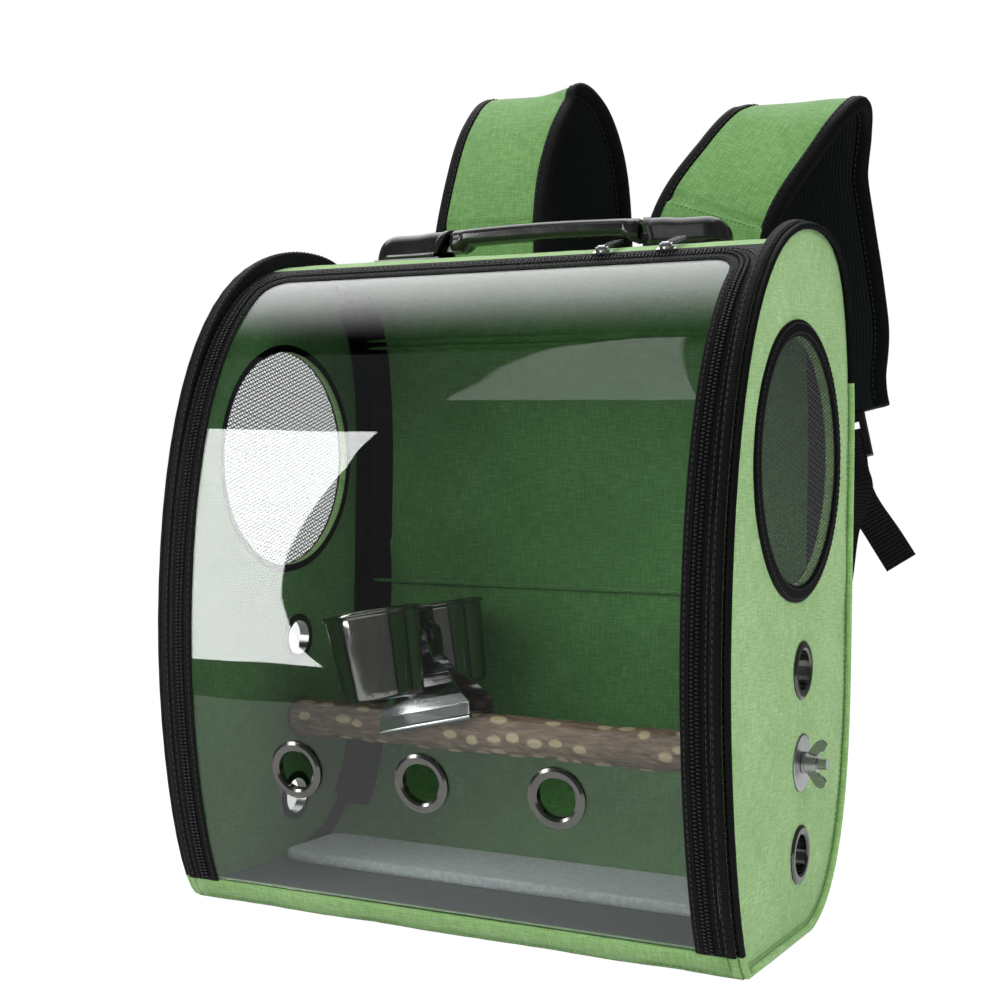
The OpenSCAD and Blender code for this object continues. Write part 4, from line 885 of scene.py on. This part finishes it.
def shoulder_straps():
    """Padded straps: a foam core with an air-mesh lining on the wearer's side, a crowned canvas face outside,
    a binding folded over each edge, and a row of stitches in the dent where the foam ends at the shoulder."""
    t = STRAP_T / 2
    core = np.array([(-1, 1.2, -t + 2.2), (-0.7, 0, -t + 1.0), (0, 0, -t + 0.9), (0.7, 0, -t + 1.0),
                     (1, -1.2, -t + 2.2), (1, -1.2, t - 2.4), (0.9, 0, t - 1.0), (0.7, 0, t - 0.35), (0, 0, t - 0.15),
                     (-0.7, 0, t - 0.35), (-0.9, 0, t - 1.0), (-1, 1.2, t - 2.4)])
    fold = np.array([(-8.6, -t + 0.35), (-7.0, -t - 0.1), (-3.5, -t - 0.15), (-1.0, -t + 0.7), (0.15, -t + 2.4),
                     (0.3, 0), (0.15, t - 2.4), (-1.0, t - 0.7), (-3.5, t + 0.15), (-7.0, t + 0.1), (-8.6, t - 0.4),
                     (-7.6, t - 1.6), (-6.0, 0.5), (-6.0, -0.5), (-7.6, -t + 1.8), (-8.4, -t + 1.2)])
    v = np.linspace(-1, 1, 33)
    for side, hand_set in STRAP_WAYS.items():
        way = smooth_way(hand_set, 12)
        n, last = len(way), len(hand_set) - 1
        i = np.linspace(0, last, n)
        half = STRAP_W / 2 * (1.06 - 0.06 * falloff(i - 4.5, 1.5)) * (1 - 0.16 * falloff(i - last + 2.2, 2.0)) - 0.4
        gone = run(way)
        seam = gone[int(n * 5.05 / last)]
        dent = (1.5 * np.exp(-((gone - seam) / 1.5)**2) - 0.5 * falloff(seam - gone, 3))[:, None]
        _, across, up = frames(way)
        body = across_strap(way, half, *core.T)
        body[:, :5] += (up * np.maximum(dent, 0))[:, None]
        pad = tube(side + "_strap_foam", body, "strap_lining", "shell", [side + "_shoulder_strap"])
        crown = -t + 0.75 - 0.75 * (1 - v**4)
        wave = ripple(gone[:, None], v * 40, 31 if side == "left" else 37) * 0.35 * (1 - v**4)
        outer, inner = (across_strap(way, half - 5.0, v, 0, crown + dent + wave + lift) for lift in (0.0, 1.0))
        slab(side + "_strap_face", outer, inner, "strap_cloth", "shell")
        rows = []
        for sign, edge in ((-1, "left"), (1, "right")):
            tube(f"{side}_strap_binding_{'outer' if edge == side else 'inner'}",
                 across_strap(way, half, sign, sign * fold[:, 0], fold[:, 1]), "trim", "shell")
            rows += [(way + across * (sign * (half - 7.2))[:, None] + up * h, up * np.sign(h))
                     for h in (-t - 0.1, t + 0.1)]
        stitches(side + "_strap_binding_stitches", rows, "shell", pitch=3.8)
        k = int(np.argmin(abs(gone - seam + 4)))
        xs = np.linspace(-half[k] + 9, half[k] - 9, 40)
        stitches(side + "_strap_seam_stitches", [(way[k] + up[k] * (-t - 0.55) + across[k] * xs[:, None], -up[k])],
                 "shell", "green_thread", 3.2, 0.4)


def strap_foot():
    """Canvas yoke under the strap feet, on the shoulder of the back panel, hemmed all round."""
    k, half, hem = stretch(SHOULDER_I - 4, SHOULDER_I + 1), STRAP_X + 60, 5.0
    line, normal = WRAP[k], WRAP_IN[k]
    x, s = np.linspace(-half, half, 81), np.linspace(0, 1, len(k))
    rim = falloff(np.minimum(s, 1 - s) * 30, 2.5)[:, None] * falloff(half - abs(x), 4)
    outer, inner = (with_x(x, inset(line, normal, d)) for d in (-(0.9 + 1.0 * rim), rim * 0 - 0.02))
    slab("strap_foot_cloth", outer, inner, "canvas", "shell", ["strap_yoke"])
    top = line - normal * 1.95
    rows = []
    for at in (hem, run(line)[-1] - hem):
        y, z, ny, nz = (np.interp(at, run(line), g) for g in (*top.T, *normal.T))
        rows.append((xyz(x[2:-2], y, z), [0, -ny, -nz]))
    rows += [(with_x(edge, top), with_x(0, -normal)) for edge in (hem - half, half - hem)]
    stitches("strap_foot_stitches", rows, "shell", "green_thread", 3.6, 0.35)


def webbing():
    """Adjusting webbing: flat bands with rounded edges from each buckle to its sewn anchor, and the free tails."""
    slack, buckle_l, t = 0.3, 30.0, WEB_T / 2
    anchor = np.array([148.0, BACK_Y + 2.3 + t + slack, 118.0])
    below, above, reach = 10.0, 20.0, WEB_W / 2 + 2               # anchor patch under, over and beside the webbing
    section = np.array([(-1, 0.3, t * 0.8), (-0.75, 0, t), (0, 0, t * 0.92), (0.75, 0, t), (1, -0.3, t * 0.8),
                        (1, 0, 0), (1, -0.3, -t * 0.8), (0.75, 0, -t), (0, 0, -t * 0.92), (-0.75, 0, -t),
                        (-1, 0.3, -t * 0.8), (-1, 0, 0)])
    for sign, side in SIDES:
        end, w, _, up = strap_end(side)
        b, c = (end + w * (buckle_l + 2 * slack) + up * lift for lift in (t + slack + 0.1, -t - slack - 0.1))
        a = anchor * [sign, 1, 1]
        low = [b, b + w * 4, b + w * 9, b + w * 22 - [0, 2, 0], b * 0.7 + a * 0.3 + [sign * 3, -4, 0],
               b * 0.46 + a * 0.54 + [sign * 2, -1, 0], a + [-sign * 2, 9, 50], a + [0, 3, 27], a + [0, 0.3, 14], a,
               a - [0, 0, 8]]
        free = [c + w * s + [sign * x, y, 0] for s, x, y in
                ((0, 0, 0), (4, 0, 0), (9, 0, 0), (18, 0.5, 3), (30, 2, 9), (48, 8, 17), (68, 15, 22))]
        for tag, hand_set, wide, node in (("lower_webbing", low, WEB_W, side + "_lower_webbing"),
                                          ("webbing_tail", free, WEB_W - 3, "webbing_tails")):
            way = smooth_way(hand_set, 9)
            flat = across_strap(way, np.full(len(way), wide / 2), *section.T)
            tube(f"{side}_{tag}", flat, "webbing", "shell", [node])
        x, z = np.linspace(-reach, reach, 17), np.linspace(-below, above, 17)[:, None]
        rim = falloff(reach - abs(x), 2) * falloff(np.minimum(z + below, above - z), 2)
        outer, inner = (xyz(sign * anchor[0] + x, BACK_Y + h, anchor[2] + z) for h in (0.6 + 1.6 * rim, 0.02))
        slab(side + "_webbing_anchor", outer, inner, "trim", "shell", ["webbing_anchors"])


def buckle_loops():
    """Webbing threaded through each buckle: a loop from the pad round the top bar, and the adjusting band
    round the middle bar, as flat bands along curves (outwards, down) from the pad's end."""
    width, h = np.array([(-12, 0.4), (-6, 0.7), (6, 0.7), (12, 0.4), (12, -0.4), (6, -0.7), (-6, -0.7),
                         (-12, -0.4)]).T
    pad = [(3.3, -3), (3.4, 0.5), (3.4, 3.6), (2.4, 5.2), (0, 5.7)]
    slide = [(1.35, 35), (2.4, 32.2), (3.35, 29.6), (3.4, 26), (3.4, 19), (3.3, 14.5), (2.3, 12.2), (0, 11.6)]
    for side in STRAP_WAYS:
        end, w, across, up = strap_end(side)
        for tag, curve in (("pad_loop", pad), ("slide_loop", slide)):
            way = smooth_way(curve + [(-y, z) for y, z in curve[-2::-1]], 5)
            t = unit(np.gradient(way, axis=0))
            yz = inset(way, np.stack([-t[:, 1], t[:, 0]], 1), h)
            grid = end + w * 0.3 + across * width[:, None] - up * yz[..., :1] + w * yz[..., 1:]
            tube(f"{side}_{tag}", grid, "webbing", "shell")


# ---- inside the cabin ----
def floor_pad():
    """Fleece mat: rounded in plan, crowned between its edges, flat underneath."""
    low, high = (np.array(corner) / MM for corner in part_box("floor_mat"))
    (cx, cy, _), (hx, hy, _) = (low + high) / 2, (high - low) / 2 - 0.3
    t = np.linspace(0, 2 * np.pi, 240, endpoint=False)
    squareness = 0.16                               # power of the rounded plan
    px, py = (np.sign(g) * abs(g)**squareness for g in (np.cos(t), np.sin(t)))
    rings = []
    for r, h in ((0.0, 0.0), (0.5, 0.0), (0.96, 0.0), (0.995, 0.12), (1.0, 0.45), (0.995, 0.78), (0.975, 0.95),
                 (0.93, 1.0), (0.8, 0.98), (0.5, 0.96), (0.25, 0.97), (0.0, 0.97)):
        rx, ry = hx - (1 - r) * hy if r > 0.9 else hx * r, hy * r
        z = low[2] + (high[2] - low[2]) * h + (0.25 * ripple(px * rx, py * ry, 41) if h > 0.9 else 0)
        rings.append(xyz(cx + px * rx, cy + py * ry, z))
    turned("fleece_mat", rings, "mat", "shell", ["floor_mat"])


def cups():
    """Spun steel cups: the wall's profile, with its rolled rim and soft foot, turned round a leaning axis."""
    a = np.radians(np.linspace(-110, 165, 16))
    rim = np.stack([28.6 + 1.4 * np.cos(a), 51.6 + 1.4 * np.sin(a)], 1)
    outside = [(0, 0.5), (11, 0.45), (18, 0.25), (21, 0), (22.4, 0.3), (23.4, 1.2), (24.0, 2.8), (24.3, 5.5)]
    wall = np.linspace((24.3, 5.5), (28.2, 48.5), 12)[1:]
    inside = np.linspace((27.5, 49), (23.5, 4.2), 12)
    floor = [(22.9, 2.2), (21.6, 1.25), (18, 1.15), (11, 1.25), (0, 1.3)]
    t, lean = np.linspace(0, 2 * np.pi, 128, endpoint=False), np.radians(12.0)
    cup_x, cup_y, cup_z = -74, 40, PERCH_Z + 22            # foot of the cups' axes, cup_y from the perch
    for sign, name, body in ((-1, "front", "shell"), (1, "rear", "rear_clip")):
        rings = [xyz(cup_x + r * np.cos(t) * np.cos(lean) - h * np.sin(lean), PERCH_Y + sign * cup_y + r * np.sin(t),
                     cup_z + r * np.cos(t) * np.sin(lean) + h * np.cos(lean))
                 for r, h in np.concatenate([outside, wall, rim, inside, floor])]
        turned(name + "_steel_cup", rings, "spun_steel", body, [name + "_cup"])


def bark_r(x, a):
    """The branch's radius along it and round it, as in the frame."""
    return PERCH_D / 2 * (1 + 0.035 * np.sin(np.radians(x * 3.1) + a) + 0.03 * np.sin(np.radians(x * 7.7) + 2 * a)
                          + 0.02 * np.cos(np.radians(x * 1.3) - 3 * a))


def branch():
    """Natural perch: the frame's branch with shallow bark furrows and cut knots, each an oval swelling with
    a flat face; the mark attribute is 1 on the knots."""
    x = np.linspace(-BRANCH_END, BRANCH_END, 420)[:, None]
    a = np.linspace(0, 2 * np.pi, 96, endpoint=False)[None]
    r = bark_r(x, a)
    rng = np.random.default_rng(5)
    mark, swell = np.zeros(r.shape), np.zeros(r.shape)
    spots = [(sx + rng.uniform(-4, 4), sa + rng.uniform(-0.25, 0.25)) for sx in np.arange(-150, 155, 13.5)
             for sa in np.arange(0, 2 * np.pi, 1.05)]
    for sx, sa in spots:
        long, wide = rng.uniform(3.6, 6.4), rng.uniform(2.3, 3.6)
        da = (a - sa + np.pi) % (2 * np.pi) - np.pi
        q = np.hypot((x - sx) / long, da * PERCH_D / 2 / wide)
        if rng.uniform() < 0.3:
            continue
        mark = np.maximum(mark, 1 - falloff(q - 0.78, 0.2))
        swell = np.maximum(swell, 0.55 * (1 - falloff(q - 0.75, 0.9)))
    furrow = 0.22 * np.sin(a * 17 + 2 * np.sin(x / 9) + 3 * np.sin(x / 31)) * (1 - mark)
    ends = falloff(BRANCH_END - abs(x), 2.5)
    r = r + (swell + furrow - 0.25) * ends - (1 - ends) * 1.0
    p = xyz(x, PERCH_Y + r * np.cos(a), PERCH_Z + r * np.sin(a))
    tube("perch_stick", p, "branch", "shell", ["perch_branch"], marks=mark)


def hardware():
    """Gives every metal, plastic and board node of the frame its finish."""
    for finish, nodes in NODE_FINISH.items():
        for name in nodes.split():
            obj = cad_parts[name]
            for spot in obj.material_slots:
                spot.material = FINISH[finish]
            if not obj.material_slots:
                obj.data.materials.append(FINISH[finish])


# ---- handle ----
def handle():
    """Moulded handle: an arched grip of superellipse sections with deep ends and a parting groove, its two
    tongues, and two hollow end caps whose arched sections shrink to a rounded nose."""
    y0, plate_z, grip_end, tail, nose = 42.0, 389.6, 63.0, 65.0, 118.0
    x = np.concatenate([np.linspace(-grip_end, -50, 27), np.linspace(-50, 50, 51)[1:-1],
                        np.linspace(50, grip_end, 27)])[:, None]
    a = np.linspace(0, 2 * np.pi, 48, endpoint=False)
    legs = falloff(abs(x) - 52, 6)
    top = plate_z + 18.8 - 1.6 * (x / grip_end)**2 - 0.9 * falloff(abs(x) - 61, 2)
    low = plate_z + (7.3 + 0.9 * (1 - (x / 54)**2)) * (1 - legs) + 3.5 * legs
    half_y = 10.8 - 0.8 * falloff(abs(x) - 60, 3)
    cy, cz = (np.sign(g) * abs(g)**0.72 for g in (np.cos(a), np.sin(a)))
    z = (top + low) / 2 + (top - low) / 2 * cz
    waist = 1 - 0.05 * np.exp(-((z - plate_z - 12.2) / 0.45)**2)
    tube("carrying_grip", xyz(x, y0 + half_y * cy * waist, z), "handle", "grip", ["handle_grip"])
    ty, tz = np.array([(-5.6, 0.4), (-5.2, 0), (5.2, 0), (5.6, 0.4), (5.6, 4.2), (5.2, 4.6), (-5.2, 4.6),
                       (-5.6, 4.2)]).T
    s, v = np.linspace(tail, nose, 60)[:, None], np.linspace(0, np.pi, 49)
    c, d = np.sign(np.cos(v)) * abs(np.cos(v))**0.6, abs(np.sin(v))**0.6
    for sign, side in SIDES:
        tongue = xyz(np.array([[58.0], [80.0]]) * sign, y0 + ty, plate_z + 3.4 + tz)
        tube(side + "_grip_tongue", tongue, "handle", "grip", flat=True)
        grids = []
        for wall in (0.0, 2.0):
            end = np.clip((s - 103) / (nose - 103 - wall * 0.9), 0, 1)
            rim = 0.7 * (1 - falloff(s - tail - 3.5, 0.8)) if wall == 0 else 0
            high = (17.0 - wall - 1.0 * falloff(s - 76, 14)) * (1 - end**2.4)**0.45 + rim
            wide = (13.0 - wall) * (1 - end**2.8)**0.4 + rim
            xs = s + 8 * (1 - d) * (1 - falloff(s - tail, 16))
            grids.append(xyz(sign * xs, y0 + wide * c * (1 - 0.22 * d), plate_z + 0.1 + high * d))
        slab(side + "_handle_end", *grids, "handle", "shell", [side + "_handle_cap"])


# ---- camera, light and floor ----
WHITE = (1, 1, 1, 1)
def stand(obj, x, y, z, place):
    """Puts an object at a place in metres, with its own axes along x, y and z."""
    m = np.eye(4)
    m[:3] = np.stack([x, y, z, place], 1)
    obj.matrix_world = Matrix(m.tolist())


def camera():
    """Camera at the photograph's place: yaw to the right side, slightly down, a little rolled."""
    photo_px, focal_px, shift_px, sensor = 1000, 1646.0, (0.40, -0.70), 36.0
    yaw, pitch, roll, place = 0.47781, 0.00515, 0.0150, np.array([438.67, -862.71, 244.51])
    f = np.array([-np.sin(yaw) * np.cos(pitch), np.cos(yaw) * np.cos(pitch), -np.sin(pitch)])
    r = np.array([np.cos(yaw), np.sin(yaw), 0.0])
    u = np.cross(r, f)
    data = bpy.data.cameras.new("camera")
    data.sensor_width, data.lens = sensor, sensor * focal_px / photo_px
    data.shift_x, data.shift_y = -shift_px[0] / photo_px, shift_px[1] / photo_px
    data.clip_start, data.clip_end = 0.05, 50
    obj = placed("camera", data)
    stand(obj, r * np.cos(roll) + u * np.sin(roll), u * np.cos(roll) - r * np.sin(roll), -f, place * MM)
    bpy.context.scene.camera = obj


def lamp(name, place, aim, size, power):
    """White soft box at place, turned to aim, in metres and watts."""
    data = bpy.data.lights.new(name, "AREA")
    data.shape, data.size, data.size_y, data.energy = "RECTANGLE", size[0], size[1], power
    obj = placed(name, data)
    z = unit(np.array(place, float) - np.array(aim, float))
    x = unit(np.cross([0, 0, 1.0], z) if abs(z[2]) < 0.99 else np.array([1.0, 0, 0]))
    stand(obj, x, np.cross(z, x), z, place)
    obj.visible_glossy = obj.visible_transmission = False


def card(name, corners, strength, fade=None):
    """Lit card that only reflections see: corners in mm; fade (from, to) dims it along Y, in mm."""
    me = bpy.data.meshes.new(name)
    me.from_pydata((np.array(corners) * MM).tolist(), [], [range(len(corners))])
    obj = placed(name, me)
    mat = bpy.data.materials.new(name)
    tree = blank(mat)
    glow = add(tree, "Emission", {"Color": WHITE, "Strength": strength})
    if fade:
        y = add(tree, "SeparateXYZ", {0: place_on(tree)}).outputs["Y"]
        dim = add(tree, "MapRange", {"Value": y, "From Min": fade[0] * MM, "From Max": fade[1] * MM,
                                     "To Max": strength}, interpolation_type="SMOOTHSTEP")
        tree.links.new(dim.outputs[0], glow.inputs["Strength"])
    add(tree, "OutputMaterial", {0: glow.outputs[0]})
    me.materials.append(mat)
    for kind in ("camera", "diffuse", "shadow", "volume_scatter"):
        setattr(obj, "visible_" + kind, False)


def seen_by_eye(tree):
    """The light path's outputs, and 1 for what the camera sees, straight or through the film."""
    ray = add(tree, "LightPath").outputs
    return ray, maths(tree, "MAXIMUM", ray["Is Camera Ray"], ray["Is Transmission Ray"])


def surround():
    """White surround: plain white to the eye, softer as a light, and dim in what metal and film reflect."""
    world = bpy.data.worlds.new("studio")
    bpy.context.scene.world = world
    tree = blank(world)
    ray, seen = seen_by_eye(tree)
    plainly = maths(tree, "MULTIPLY", seen, maths(tree, "LESS_THAN", ray["Glossy Depth"], 0.5))
    bent = maths(tree, "MAXIMUM", ray["Is Glossy Ray"], ray["Is Transmission Ray"])
    grey = colour("#F2F4F6")
    soft, dim, white = (add(tree, "Background", {"Color": tone, "Strength": strength}).outputs[0]
                        for tone, strength in ((grey, 0.55), (grey, 0.13), (WHITE, 1.0)))
    mix = add(tree, "MixShader", {0: bent, 1: soft, 2: dim})
    mix = add(tree, "MixShader", {0: plainly, 1: mix.outputs[0], 2: white})
    add(tree, "OutputWorld", {0: mix.outputs[0]})


def ground():
    """Pale floor: nearly white to the eye, and dim where a reflection inside the film would light it."""
    me, half = bpy.data.meshes.new("floor"), 30.0
    me.from_pydata([(-half, -half, 0), (half, -half, 0), (half, half, 0), (-half, half, 0)], [], [(0, 1, 2, 3)])
    floor = placed("floor", me)
    floor.visible_glossy = False
    mat, tree, shader = start("studio_floor")
    dress(tree, shader, Base_Color=(0.9, 0.9, 0.9, 1), Roughness=0.9)
    ray, seen = seen_by_eye(tree)
    glow, dim = (add(tree, "Emission", {"Color": WHITE, "Strength": strength}) for strength in (1.12, 0.13))
    mix = choose(tree, maths(tree, "MULTIPLY", seen, 0.86), shader, glow)
    choose(tree, maths(tree, "GREATER_THAN", ray["Glossy Depth"], 0.5), mix, dim)
    me.materials.append(mat)


def studio():
    """Pale floor in a white surround, soft boxes in front and above, and lit cards for the reflections."""
    bpy.context.scene.view_settings.view_transform = "Standard"
    surround()
    lamp("key_front_left", (-1.3, -2.1, 1.7), (0, 0, 0.2), (1.4, 1.4), 26)
    lamp("fill_right", (1.45, -0.75, 1.25), (0.15, 0, 0.25), (0.8, 0.9), 11.0)
    lamp("top_box", (0.1, 0.1, 2.2), (0, 0, 0), (1.6, 1.2), 16)
    over, front = 1500, -600                        # height of the card overhead, Y of the cards in front
    card("overhead_card", [(-1600, -700, over), (300, -700, over), (300, 1500, over), (-1600, 1500, over)], 2.5,
         (-520, 250))
    card("window_card", [(x, front, z) for x, z in ((-640, 20), (-640, 610), (-405, 605), (-395, 470), (-412, 350),
                                                    (-428, 250), (-430, 160), (-412, 60), (-388, 22))], 9.0)
    card("lens_card", [(x, front, z) for x, z in ((-380, 760), (-400, 900), (-440, 1050), (-490, 1380), (-370, 1570),
                                                  (-105, 745))], 1.2)
    card("floor_card", [(-900, -440, 1), (900, -440, 1), (900, 900, 1), (-900, 900, 1)], 0.7)
    ground()


camera()
studio()
shell_panels()
side_panels()
edge_bindings()
pipings()
corner_bindings()
windows()
fixed_zip()
front_panel()
sill()
shoulder_straps()
strap_foot()
webbing()
buckle_loops()
floor_pad()
cups()
branch()
handle()
hardware()
